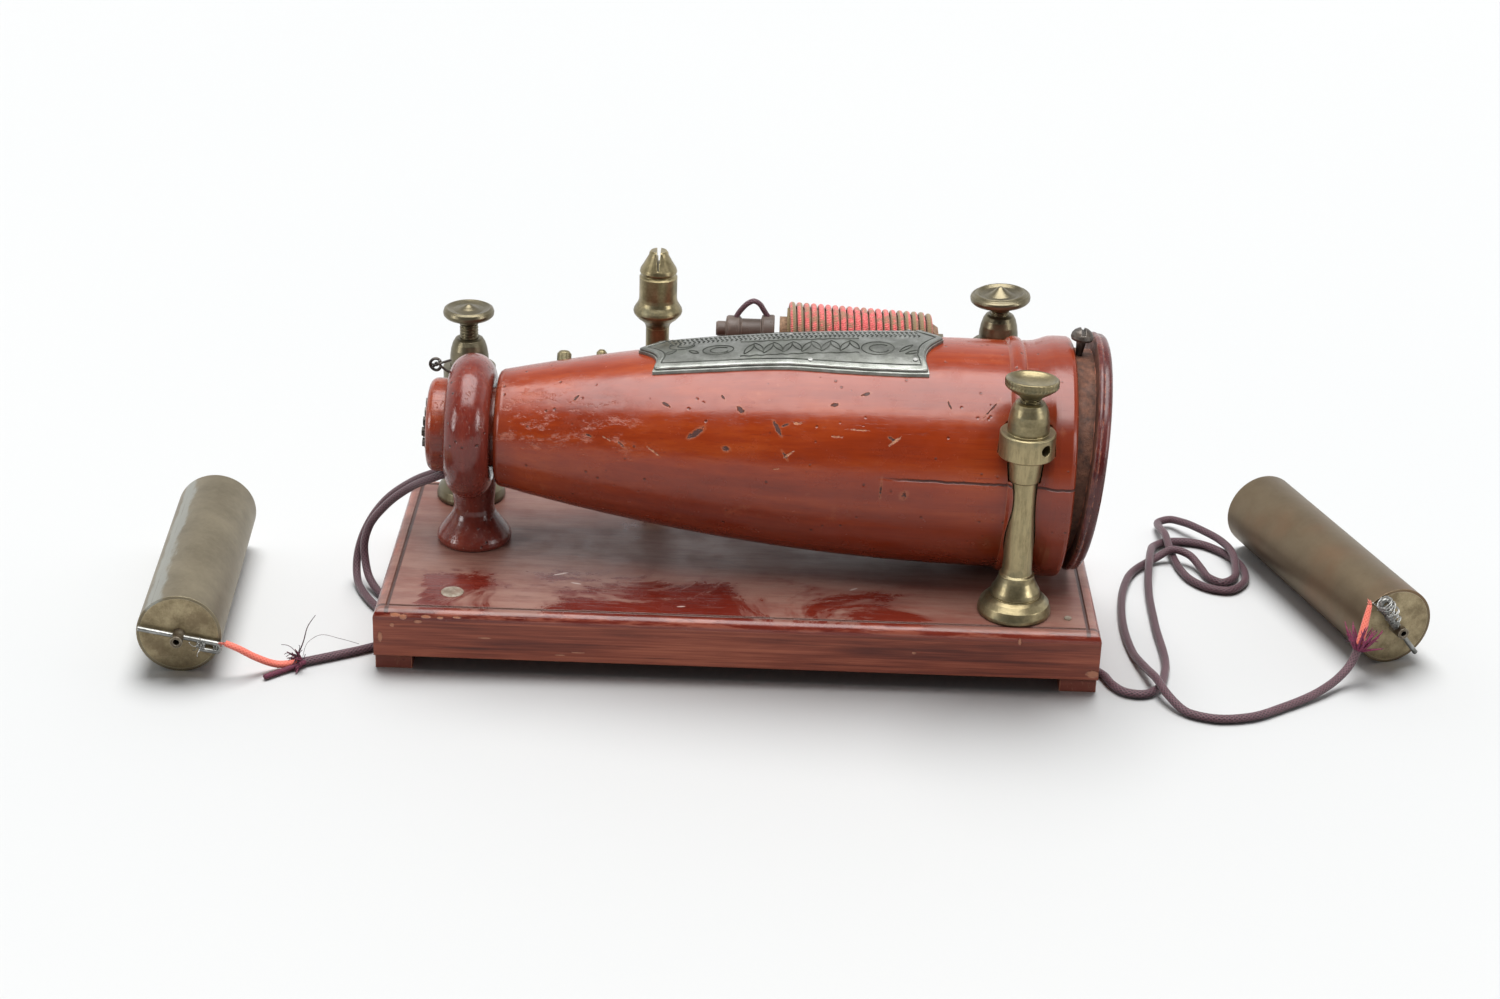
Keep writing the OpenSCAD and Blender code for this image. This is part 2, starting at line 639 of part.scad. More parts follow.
// Armature spring on its block, with the hammer at its top
spring_x = 1;
spring_t = 0.6;
spring_w = 6;
spring_z = [4.5, 70];
block_size = [10, 12, 9];

module spring_block() {
    slot_t = spring_t + 0.3;
    color(brass) translate([spring_x, magnet_y, top_z]) difference() {
        translate([-block_size[0] / 2, -block_size[1] / 2, 0]) cube(block_size);
        translate([-slot_t / 2, -spring_w / 2 - 0.15, spring_z[0] - 0.2])
            cube([slot_t, spring_w + 0.3, block_size[2]]);
    }
}

module armature_spring() {
    color(steel) translate([spring_x - spring_t / 2, magnet_y - spring_w / 2, top_z + spring_z[0]])
        cube([spring_t, spring_w, spring_z[1] - spring_z[0]]);
}

module contact_point() {
    color(steel) translate([spring_x - spring_t / 2 - 0.8, magnet_y, top_z + contact_h])
        rotate([0, 90, 0]) cylinder(r = 1.5, h = 0.8);
}

module magnet_axis(x) {
    translate([x, magnet_y, top_z + magnet_h]) rotate([0, 90, 0]) children();
}

// Hammer, a turned spool; its outline runs along the magnet's axis
spool_profile = [[0, -11.9], [2.4, -11.9], [2.8, -11.2], [2.8, -8.4], [4.6, -8.1], [5, -7.4],
    [5, -3.6], [4.6, -2.9], [4, -2.5], [4, 4.6], [5.4, 5], [5.7, 5.7], [5.7, 9.2], [5.4, 9.6], [0, 9.6]];

module hammer_spool() {
    color("#4a382c") difference() {
        magnet_axis(0) rotate_extrude() polygon(spool_profile);
        magnet_axis(8.6) cylinder(r = 4.53, h = 2);
        translate([spring_x - spring_t / 2, magnet_y - spring_w / 2 - 0.05, top_z + 60])
            cube([spring_t, spring_w + 0.1, spring_z[1] - 60 + 0.02]);
    }
}

module hammer_plate() {
    color(iron) magnet_axis(8.62) cylinder(r = 4.5, h = 0.98);
}

LOOP = [[-4.6, 4.7], [-4, 5.9], [-2.4, 8.2], [-0.3, 10.3], [1.7, 11.2], [3.7, 10.3], [5.4, 7.9],
    [6.6, 6], [7.2, 5.2]];
loop_r = 1;

module pull_loop() {
    color(cord_purple) tube([for (p = LOOP) [p[0], magnet_y, top_z + magnet_h + p[1]]], loop_r, 8);
}

// Magnet between its brackets
magnet_x = [11.5, 70.1];
bobbin_r = 5.2;
magnet_core_r = 3;
winding_x0 = 15.4;
winding_r0 = 9.7;
winding_r1 = 7.3;
winding_sink = 0.7;
winding_end = 360 * winding_turns - 90;
winding_steps = 24;
tail_y = 48;
tail_bend = 6.4;
tail_shift = 0.9;

function winding_radius(a) = winding_r0 + (winding_r1 - winding_r0) * a / winding_end
    - winding_sink * max(0, (a - winding_end + 360) / 360);
function winding_point(a) = [winding_x0 + winding_pitch * a / 360, magnet_y + winding_radius(a) * cos(a),
    top_z + magnet_h + winding_radius(a) * sin(a)];
function smooth(t) = t * t * (3 - 2 * t);
winding_lead = concat([[winding_x0, tail_y, top_z], [winding_x0, tail_y, top_z + 2.5]],
    [for (i = [0:6]) [winding_x0, tail_y + (magnet_y + winding_r0 - tail_y) * smooth(i / 6),
        top_z + 8 + 6 * i]],
    [[winding_x0, magnet_y + winding_r0, top_z + magnet_h - 6],
        [winding_x0, magnet_y + winding_r0, top_z + magnet_h - 2]]);
winding_last = winding_point(winding_end);
winding_tail = concat(
    [for (i = [1:6]) winding_last + [tail_shift * i / 6, tail_bend * sin(15 * i),
        -tail_bend * (1 - cos(15 * i))]],
    [for (h = [2.5, 0]) [winding_last[0] + tail_shift, magnet_y + tail_bend, top_z + h]]);
winding_path = concat(winding_lead,
    [for (i = [0:winding_steps * winding_end / 360]) winding_point(360 * i / winding_steps)], winding_tail);

// Least gap between points of the path more than half a turn apart, less the wire's thickness
function self_gap(p, r, apart) =
    min([for (i = [0:len(p) - 1 - apart]) for (j = [i + apart:min(len(p) - 1, i + 3 * apart + 6)])
        norm(p[i] - p[j])]) - 2 * r;

module magnet_core() {
    color(iron) magnet_axis(magnet_x[0]) cylinder(r = magnet_core_r, h = magnet_x[1] - magnet_x[0] - 4.5);
}

module magnet_bobbin() {
    color(wood_raw) difference() {
        magnet_axis(magnet_x[0]) difference() {
            cylinder(r = bobbin_r, h = magnet_x[1] - magnet_x[0]);
            translate([0, 0, -1]) cylinder(r = magnet_core_r + fit, h = magnet_x[1] - magnet_x[0] - 3.4);
        }
        translate([magnet_x[1] - 5, magnet_y, top_z + bracket_screw_h]) rotate([0, 90, 0])
            cylinder(r = 0.83, h = 8);
        translate([magnet_x[1] - 4.2, magnet_y, top_z + magnet_h + bobbin_r - 0.3]) rotate([0, 40, 0])
            translate([0, -8, 0]) cube([12, 16, 8]);
    }
}

module magnet_inner_winding() {
    inner_x = [14.2, 64.4];
    function inner_r(x) = winding_radius(360 * max(0, x - winding_x0) / winding_pitch)
        - winding_wire_r - 0.2;
    color("#6b5a3a") magnet_axis(0) rotate_extrude()
        polygon([[bobbin_r + fit, inner_x[0]], [inner_r(inner_x[0]), inner_x[0]],
        [inner_r(inner_x[1]), inner_x[1]], [bobbin_r + fit, inner_x[1]]]);
}

module magnet_winding() {
    echo(str("Least gap of the winding to itself, mm: ", self_gap(winding_path, winding_wire_r, 13)));
    color(coral) tube(winding_path, winding_wire_r, 6);
}

// Brackets: a column behind the barrel and a top plate that carries the bobbin
bracket_t = 2;
bracket_x = [12, 70.2];
bracket_front = 41.7;
bracket_back = 50;
flange_l = 12;
flange_back = 46.6;
bracket_screw_h = 67.3;

function flange_screw_places() = [[bracket_x[0] + bracket_t + 6.5, 44.1], [bracket_x[1] - 6.5, 44.1]];

module bracket(x, height, flange_side) {
    flange_x = flange_side > 0 ? x + bracket_t - eps : x - flange_l;
    color(brass) difference() {
        union() {
            translate([x, 0, top_z]) rotate([90, 0, 90]) linear_extrude(bracket_t)
                polygon([[bracket_front, 0], [bracket_back, 0], [bracket_back, 58], [47, 61],
                    [47, height], [37.4, height], [37.4, 62], [bracket_front, 58]]);
            translate([flange_x, bracket_front, top_z])
                cube([flange_l + eps, flange_back - bracket_front, bracket_t]);
        }
        if (flange_side > 0) magnet_axis(x - 1) cylinder(r = bobbin_r + 0.03, h = bracket_t + 2);
        if (flange_side < 0) translate([x - 1, magnet_y, top_z + bracket_screw_h]) rotate([0, 90, 0])
            cylinder(r = 0.85, h = bracket_t + 2);
        for (p = flange_screw_places()) on_board(p) translate([0, 0, -1])
            cylinder(r = 1.1, h = bracket_t + 2);
    }
}

module bracket_screws() {
    color(brass) {
        for (p = flange_screw_places()) on_board(p) {
            translate([0, 0, -7.9]) cylinder(r = 1, h = 10);
            translate([0, 0, bracket_t]) cylinder(r1 = 2.1, r2 = 1.4, h = 1.2);
        }
        translate([bracket_x[1] - 4, magnet_y, top_z + bracket_screw_h]) rotate([0, 90, 0]) {
            cylinder(r = 0.8, h = 4 + bracket_t + 0.5);
            translate([0, 0, 4 + bracket_t]) cylinder(r1 = 2, r2 = 1.5, h = 1.2);
        }
    }
}

// Routes of the cords, by hand; each starts in its hole in the ring
CORD_EXIT_X = -103;
CORD_EXIT_Z = 51;
LEFT_ROUTE = [[CORD_EXIT_X, exit_gap, CORD_EXIT_Z], [-108, exit_gap, CORD_EXIT_Z], [-112, 3.2, 49.2],
    [-123, 10.2, 41], [-132.4, 14.6, 31.5], [-139, 16.4, 21], [-141.4, 16.2, 15.2],
    [-142.8, 14.6, 9.6], [-142.8, 11, 4.8], [-141.6, 6.2, 2], [-139.5, 1, 1.5], [-134.8, -8, 1.5],
    [-128, -18, 1.5], [-123.4, -27, 1.5], [-122.6, -34, 1.5], [-125.6, -39.6, 1.5], [-131.4, -43.9, 1.5],
    [-141, -49.4, 1.5], [-154, -56.4, 1.5]];
RIGHT_ROUTE = [[CORD_EXIT_X, -exit_gap, CORD_EXIT_Z], [-108, -exit_gap, CORD_EXIT_Z],
    [-112, -0.5, 48.9], [-121.8, 6.7, 41.2], [-131.4, 11.1, 31.6], [-138.2, 12.9, 21.4],
    [-139.9, 12.6, 14.8], [-139.4, 10.7, 8.8], [-138, 7.6, 4.7], [-135.2, 3, 2.3],
    [-130.5, -3.6, 1.5], [-121, -11, 1.5], [-100, -20, 1.5],
    [0, -34, 1.5], [60, -37, 1.5], [117, -37, 1.5], [125.5, -39, 1.5], [130.2, -44.5, 1.5],
    [132.6, -51, 1.5], [137, -56.4, 1.5], [143.4, -57.2, 1.5], [148.8, -52.6, 1.5], [151.8, -44, 1.5],
    [153.4, -4, 1.5], [154, 18, 1.5], [155, 31, 3], [156.6, 42, 4.8], [158.4, 52, 4.2], [161, 61, 2],
    [166, 65.8, 1.5], [173, 66.8, 1.5], [180, 65, 1.5], [187, 58.6, 1.5], [191.6, 51, 1.5],
    [193.4, 41, 1.5], [191.2, 31.6, 1.5], [185, 25.6, 1.5], [178, 27, 1.5], [172, 33, 1.5],
    [168.8, 42, 1.5], [167.4, 52, 1.5], [166.3, 59, 3.3], [165.6, 66, 4.8], [164.6, 75, 3.4],
    [165.2, 81.6, 2.6], [169.2, 83.4, 3], [174, 79, 4.2], [180.6, 71, 4.8], [187, 61.6, 4.8],
    [190, 51, 4.5], [190, 43, 2.9], [188.2, 35.6, 1.8], [183.4, 32.2, 1.5], [179, 35.8, 1.5],
    [176.6, 43, 2.2], [172.6, 50, 4.2], [167, 52.6, 4.8], [160.6, 50, 2.4], [154.6, 44.8, 1.5],
    [149.4, 37.4, 1.5], [145.2, 25, 1.5], [142.4, 8, 1.5], [142.8, -28, 1.5], [145.6, -42, 3.4],
    [148, -52, 4.8], [151, -61, 3.4], [157, -69.4, 1.5], [165, -73, 1.5], [178, -71, 1.5],
    [192, -62.4, 1.5], [207, -51, 2.6], [213.6, -44.6, 4.2], [217.6, -40.6, 6.8], [219.8, -38.2, 10],
    [221, -36.9, 13]];
LEFT_CORE_ROUTE = [[-154, -56.4, 1.5], [-160, -58.6, 2], [-167, -61.4, 5.9], [-173, -63.2, 10.3],
    [-177, -63.6, 12.3]];
RIGHT_CORE_ROUTE = [[221, -36.9, 13], [222, -35.2, 17.5], [223, -33.4, 22], [224, -31.6, 26.4]];
core_thread_r = 1.2;

// Handles lie on the standing surface; each frame has its Z out of the near end
LEFT_HANDLE = [[-193.3, -62.1, handle_r], 3.55];
RIGHT_HANDLE = [[235.8, -23.9, handle_r], 19.2];
handle_wall = 1;
cap_t = 1.2;
nipple_r = 2.1;
nipple_l = 6.5;
pin_wire_r = 0.9;
pin_eye_r = 1.6;
// Pins: slope, height over the end disc, reach of the plain end, reach of the eye end
LEFT_PIN = [-12.1, 1.75, 14, 13.2];
RIGHT_PIN = [129, 3, 13.4, 13.2];

module on_handle(h) {
    translate(h[0]) rotate([90, 0, h[1]]) children();
}

module handle_tube(h) {
    color("#75694a") on_handle(h) translate([0, 0, -handle_l]) difference() {
        cylinder(r = handle_r, h = handle_l);
        translate([0, 0, -1]) cylinder(r = handle_r - handle_wall, h = handle_l + 2);
    }
}

module handle_caps() {
    disc_r = handle_r - handle_wall - 0.02;
    color("#7d6f4a") for (h = [LEFT_HANDLE, RIGHT_HANDLE]) on_handle(h) {
        translate([0, 0, -handle_l]) cylinder(r = disc_r, h = cap_t);
        translate([0, 0, -cap_t]) difference() {
            cylinder(r = disc_r, h = cap_t);
            translate([0, 0, -1]) cylinder(r = nipple_r + 0.03, h = cap_t + 2);
        }
    }
}

module handle_nipples() {
    pairs = [[LEFT_HANDLE, LEFT_PIN], [RIGHT_HANDLE, RIGHT_PIN]];
    color("#6f6550") for (pair = pairs) on_handle(pair[0]) difference() {
        translate([0, 0, -cap_t]) cylinder(r = nipple_r, h = nipple_l + cap_t);
        translate([0, 0, 3]) cylinder(r = 1.1, h = nipple_l);
        translate([0, 0, pair[1][1]]) rotate([0, 90, pair[1][0]])
            cylinder(r = pin_wire_r + 0.03, h = 10, center = true);
    }
}

module handle_pin(h, pin, leg_l) {
    color(steel) on_handle(h) translate([0, 0, pin[1]]) rotate([0, 0, pin[0]]) {
        translate([-pin[2], 0, 0]) rotate([0, 90, 0]) cylinder(r = pin_wire_r, h = pin[2] + pin[3]);
        translate([pin[3], -pin_eye_r, 0]) rotate([0, 0, -90]) rotate_extrude(angle = 180)
            translate([pin_eye_r, 0]) circle(r = pin_wire_r, $fn = 32);
        translate([pin[3] - leg_l, -2 * pin_eye_r, 0]) rotate([0, 90, 0])
            cylinder(r = pin_wire_r, h = leg_l);
    }
}

module cord(route) {
    color(cord_purple) tube(route, cord_r, 8);
}

module cord_core(route) {
    color(coral) tube(route, core_thread_r, 8);
}

base_board();
foot(-1, -1);  // foot_front_left
foot(1, -1);  // foot_front_right
foot(-1, 1);  // foot_back_left
foot(1, 1);  // foot_back_right
base_wires();
board_plugs();
standard();
standard_screw();
barrel_shell();
barrel_screws();
end_cap();
coil_former();
primary_winding();
secondary_winding();
iron_core();
cover_disc();
cover_screw();
nameplate();
nameplate_pins();
rear_studs();
wire_hook();
terminal_post(FRONT_RIGHT);  // terminal_front_right_post
terminal_stem(FRONT_RIGHT);  // terminal_front_right_stem
terminal_knob(FRONT_RIGHT, knurled_knob, front_right_lean);  // terminal_front_right_knob
terminal_post(BACK_LEFT);  // terminal_back_left_post
terminal_stem(BACK_LEFT);  // terminal_back_left_stem
terminal_knob(BACK_LEFT, round_rim_knob, back_left_lean);  // terminal_back_left_knob
terminal_post(BACK_RIGHT);  // terminal_back_right_post
terminal_stem(BACK_RIGHT);  // terminal_back_right_stem
terminal_knob(BACK_RIGHT, double_rim_knob, back_right_lean);  // terminal_back_right_knob
stud_nuts();
contact_pillar();
pillar_head();
contact_screw_stem();
contact_screw_knob();
spring_block();
armature_spring();
contact_point();
hammer_spool();
hammer_plate();
pull_loop();
magnet_core();
magnet_bobbin();
magnet_inner_winding();
magnet_winding();
bracket(bracket_x[0], 67, 1);  // magnet_bracket_left
bracket(bracket_x[1], 70.3, -1);  // magnet_bracket_right
bracket_screws();
cord(LEFT_ROUTE);  // cord_left
cord(RIGHT_ROUTE);  // cord_right
cord_core(LEFT_CORE_ROUTE);  // cord_left_core
cord_core(RIGHT_CORE_ROUTE);  // cord_right_core
handle_tube(LEFT_HANDLE);  // handle_left_tube
handle_tube(RIGHT_HANDLE);  // handle_right_tube
handle_caps();
handle_nipples();
handle_pin(LEFT_HANDLE, LEFT_PIN, 5.5);  // handle_left_pin
handle_pin(RIGHT_HANDLE, RIGHT_PIN, 4);  // handle_right_pin
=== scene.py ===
"""Medical electromagnetic machine: materials, cords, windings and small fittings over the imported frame.

Metres, in the row frame: X along the barrel, Y from the front of the board to its back, Z up.
"""
import json
import math
import random

import bpy
from mathutils import Matrix, Vector


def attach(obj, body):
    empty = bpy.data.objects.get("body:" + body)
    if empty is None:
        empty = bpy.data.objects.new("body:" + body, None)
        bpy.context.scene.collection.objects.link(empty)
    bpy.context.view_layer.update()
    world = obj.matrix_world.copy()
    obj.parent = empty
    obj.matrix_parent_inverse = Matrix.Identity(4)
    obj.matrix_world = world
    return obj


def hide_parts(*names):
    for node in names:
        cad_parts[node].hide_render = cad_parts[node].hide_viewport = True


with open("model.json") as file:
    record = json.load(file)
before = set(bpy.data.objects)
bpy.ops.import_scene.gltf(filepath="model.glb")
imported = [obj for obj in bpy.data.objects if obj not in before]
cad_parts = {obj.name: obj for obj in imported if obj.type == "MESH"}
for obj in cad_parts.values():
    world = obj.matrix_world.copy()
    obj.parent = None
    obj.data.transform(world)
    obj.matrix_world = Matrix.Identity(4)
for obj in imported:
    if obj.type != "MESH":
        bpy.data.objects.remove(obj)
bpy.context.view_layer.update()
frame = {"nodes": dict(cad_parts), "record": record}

MM = 0.001
TAU = 2 * math.pi
UP = Vector((0, 0, 1))
BACK = Vector((0, 1, 0))
BOARD_TOP = 0.0227
BARREL_MIDDLE = Vector((0, 0, BOARD_TOP + 0.0453))  # on the barrel's axis
MAGNET_Y, MAGNET_Z = 0.042, BOARD_TOP + 0.0714  # the magnet's axis


def around(angle, first, second):
    """Unit circle in the plane of two unit vectors."""
    return math.cos(angle) * first + math.sin(angle) * second


def add_object(name, data):
    thing = bpy.data.objects.new(name, data)
    bpy.context.collection.objects.link(thing)
    return thing


# Camera, solved from the photo's corners of the board and handles
CAMERA_PLACE = (0.00361, -0.87551, 0.45523)
CAMERA_TURNS = (25.134, -0.05, 1.993)  # down, to the right and rolled, in degrees
FOCAL_LENGTH, SENSOR_WIDTH = 63.98, 36


def make_camera():
    pitch, yaw, roll = (math.radians(turn) for turn in CAMERA_TURNS)
    forward = Vector((math.sin(yaw) * math.cos(pitch), math.cos(yaw) * math.cos(pitch), -math.sin(pitch)))
    level = Vector((math.cos(yaw), -math.sin(yaw), 0))
    upright = level.cross(forward)
    right = around(roll, level, upright)
    up = math.cos(roll) * upright - math.sin(roll) * level
    camera = add_object("camera", bpy.data.cameras.new("camera"))
    camera.data.sensor_width = SENSOR_WIDTH
    camera.data.lens = FOCAL_LENGTH
    matrix = Matrix((right, up, -forward)).transposed().to_4x4()
    matrix.translation = Vector(CAMERA_PLACE)
    camera.matrix_world = matrix
    bpy.context.scene.camera = camera


make_camera()


# Shader graphs
class Graph:
    """Short ways to build a tree of shader nodes."""

    def __init__(self, tree):
        self.tree = tree

    def add(self, kind, inputs=None, **settings):
        node = self.tree.nodes.new(kind)
        for key, value in settings.items():
            setattr(node, key, value)
        for key, value in (inputs or {}).items():
            self.feed(node.inputs[key], value)
        return node

    def feed(self, socket, value):
        if isinstance(value, bpy.types.NodeSocket):
            self.tree.links.new(value, socket)
        else:
            socket.default_value = value

    def math(self, operation, a, b=0.0, c=0.0):
        return self.add("ShaderNodeMath", {0: a, 1: b, 2: c}, operation=operation).outputs[0]

    def times(self, a, b):
        return self.math("MULTIPLY", a, b)

    def fused(self, a, b, c):
        """a * b + c."""
        return self.math("MULTIPLY_ADD", a, b, c)

    def plus(self, a, b):
        return self.math("ADD", a, b)

    def minus(self, a, b):
        return self.math("SUBTRACT", a, b)

    def larger(self, a, b):
        return self.math("MAXIMUM", a, b)

    def size(self, a):
        return self.math("ABSOLUTE", a)

    def ease(self, value, low, high, out_low=0.0, out_high=1.0):
        """A smooth step from out_low at low to out_high at high; low may be the larger one."""
        inputs = {"Value": value, "From Min": low, "From Max": high, "To Min": out_low, "To Max": out_high}
        return self.add("ShaderNodeMapRange", inputs, interpolation_type="SMOOTHSTEP").outputs[0]


class Shade(Graph):
    """A Principled material and what feeds it."""

    def __init__(self, name):
        self.material = bpy.data.materials.new(name)
        self.material.use_nodes = True
        super().__init__(self.material.node_tree)
        self.bsdf = self.tree.nodes["Principled BSDF"]
        coordinates = self.add("ShaderNodeTexCoord")
        self.place = coordinates.outputs["Object"]
        self.uv = coordinates.outputs["UV"]

    def vector(self, operation, a, b=(0, 0, 0)):
        node = self.add("ShaderNodeVectorMath", {0: a, 1: b}, operation=operation)
        return node.outputs["Value" if operation in ("DOT_PRODUCT", "LENGTH") else "Vector"]

    def stretch(self, scale):
        return self.add("ShaderNodeMapping", {"Vector": self.place, "Scale": scale}).outputs[0]

    def noise(self, place, scale, detail=3.0, rough=0.55, warp=0.0):
        inputs = {"Vector": place, "Scale": scale, "Detail": detail, "Roughness": rough, "Distortion": warp}
        return self.add("ShaderNodeTexNoise", inputs).outputs[0]

    def ramp(self, factor, stops):
        node = self.add("ShaderNodeValToRGB", {"Fac": factor})
        elements = node.color_ramp.elements
        while len(elements) < len(stops):
            elements.new(0.5)
        for element, (at, color) in zip(elements, stops):
            element.position = at
            element.color = (*color, 1)
        return node.outputs[0]

    def mix(self, factor, a, b):
        node = self.add("ShaderNodeMix", data_type="RGBA")
        for index, value in ((0, factor), (6, a), (7, b)):
            if isinstance(value, tuple):
                value = (*value, 1)
            self.feed(node.inputs[index], value)
        return node.outputs[2]

    def tint(self, color, mask, strength, other):
        """Color turned towards another one where mask is 1."""
        return self.mix(self.times(mask, strength), color, other)

    def bump(self, height, distance, strength, normal=None):
        node = self.add("ShaderNodeBump", {"Height": height, "Distance": distance, "Strength": strength})
        if normal is not None:
            self.feed(node.inputs["Normal"], normal)
        return node.outputs[0]

    def rounded(self, radius):
        """(normal with the edges rounded, mask that is 1 on them)."""
        soft = self.add("ShaderNodeBevel", {"Radius": radius}, samples=6).outputs[0]
        hard = self.add("ShaderNodeNewGeometry").outputs["Normal"]
        return soft, self.ease(self.vector("DOT_PRODUCT", soft, hard), 0.997, 0.93)

    def axis(self, index):
        return self.add("ShaderNodeSeparateXYZ", {0: self.place}).outputs[index]

    def near_line(self, point, direction, inner, outer, wobble):
        """1 within inner of a line, 0 beyond outer, with the distance changed by wobble."""
        offset = self.vector("SUBTRACT", self.place, tuple(point))
        away = self.vector("LENGTH", self.vector("CROSS_PRODUCT", offset, tuple(direction.normalized())))
        return self.ease(self.plus(away, wobble), outer, inner)

    def finish(self, color, rough, normal=None, **constants):
        self.feed(self.bsdf.inputs["Base Color"], color)
        self.feed(self.bsdf.inputs["Roughness"], rough)
        if normal is not None:
            self.feed(self.bsdf.inputs["Normal"], normal)
        for key, value in constants.items():
            self.feed(self.bsdf.inputs[key.replace("_", " ")], value)
        return self.material


# Woods
GOUGES = [  # on the barrel's front: x, z, tilt, half length and width, depth (negative: a pale scratch)
    (-16.6, 83.4, 32, 3, 1, 1), (-6, 79.1, -5, 1.5, 0.9, 1), (-31, 75.9, -33, 3.4, 0.5, -0.6),
    (-42.4, 77.1, -38, 3, 0.5, 0.5), (-47.5, 78.6, -25, 2.6, 0.4, -0.5),
    (-54, 79, -15, 1.6, 0.5, 0.5), (-27.4, 90.7, -20, 1.6, 0.5, 0.9), (-1.3, 91.2, -30, 1.5, 0.8, 1),
    (-58.9, 89.6, 38, 1.3, 0.4, 0.8), (-7.6, 94.1, -35, 1, 0.4, 0.8), (11.4, 86.9, -58, 2.4, 0.7, 1),
    (14, 87.9, 20, 1.6, 0.4, 0.8), (18.4, 88.8, 3, 1.9, 0.5, -0.7), (15.7, 78.9, 36, 2.4, 0.4, -1),
    (14.4, 78.4, -55, 1.9, 0.5, 0.9), (32.4, 85.5, -2, 2.4, 0.4, -0.7), (39.1, 88, 0, 4.2, 0.3, -0.7),
    (52.2, 85.2, 36, 2.7, 0.5, -0.9), (51, 85.8, -25, 1.3, 0.5, 0.9), (31, 94.6, 8, 1.6, 0.5, 0.9),
    (41.7, 97.8, 15, 1.8, 0.4, 0.8), (70.6, 96.1, -60, 1.3, 0.4, 0.8), (84.8, 95.2, 40, 4, 0.35, 0.6),
    (11.4, 73.6, 10, 1.8, 0.3, -0.6), (55.9, 66.9, 60, 1.9, 1.4, 0.4), (47.9, 68.9, 88, 4, 0.5, 0.5)]


def gouge_masks(s):
    """(hollows, their pale rims, pale scratches): ragged ellipses on the side that faces -Y."""
    x, y, z = (s.axis(i) for i in range(3))
    front = s.ease(y, -0.012, -0.016)
    ragged = s.noise(s.place, 700, 4, 0.75)
    nearest = {True: 9.0, False: 9.0}
    for cx, cz, tilt, length, width, depth in GOUGES:
        c, q = math.cos(math.radians(tilt)), math.sin(math.radians(tilt))
        dx, dz = s.minus(x, cx * MM), s.minus(z, cz * MM)
        u = s.fused(dx, c / (length * MM), s.times(dz, q / (length * MM)))
        v = s.fused(dx, -q / (width * MM), s.times(dz, c / (width * MM)))
        far = s.fused(u, u, s.fused(v, v, 1.0 - abs(depth)))
        nearest[depth > 0] = s.math("MINIMUM", nearest[depth > 0], far)
    hollow_far, pale_far = (s.fused(ragged, 4.4, nearest[deep]) for deep in (True, False))
    hollow = s.times(s.ease(hollow_far, 3.2, 2.6), front)
    rim = s.times(s.minus(s.ease(hollow_far, 4.6, 3.4), hollow), front)
    return hollow, rim, s.times(s.ease(pale_far, 3.3, 2.5), front)


def wood_base(s, tones, axis, scale=1.0, warp=0.3):
    """(colour, fibre height) of polished wood with its grain along an axis."""
    squeeze = [1.0, 1.0, 1.0]
    squeeze[axis] = 0.07
    along = s.stretch(tuple(squeeze))
    bands = s.noise(along, 55 * scale, 3, 0.5, warp)
    fibres = s.noise(along, 520 * scale, 5, 0.7)
    clouds = s.noise(s.place, 22 * scale, 3, 0.6)
    tone = s.fused(bands, 0.5, s.fused(fibres, 0.28, s.times(clouds, 0.22)))
    color = s.ramp(tone, [(0.32, tones[0]), (0.5, tones[1]), (0.66, tones[2])])
    squeeze[axis] = 0.03
    pores = s.ease(s.noise(s.stretch(tuple(squeeze)), 2600 * scale, 2, 0.5), 0.62, 0.72)
    color = s.tint(color, pores, 0.45, tones[0])
    return color, s.minus(fibres, s.times(pores, 0.5))


def speckles(s, scale, low, high):
    """Sparse small marks."""
    inputs = {"Vector": s.place, "Scale": scale, "Randomness": 1.0}
    cells = s.add("ShaderNodeTexVoronoi", inputs, feature="F1")
    chosen = s.ease(s.noise(s.place, scale * 0.31, 1), 0.55, 0.6)
    return s.times(s.ease(cells.outputs["Distance"], high, low), chosen)


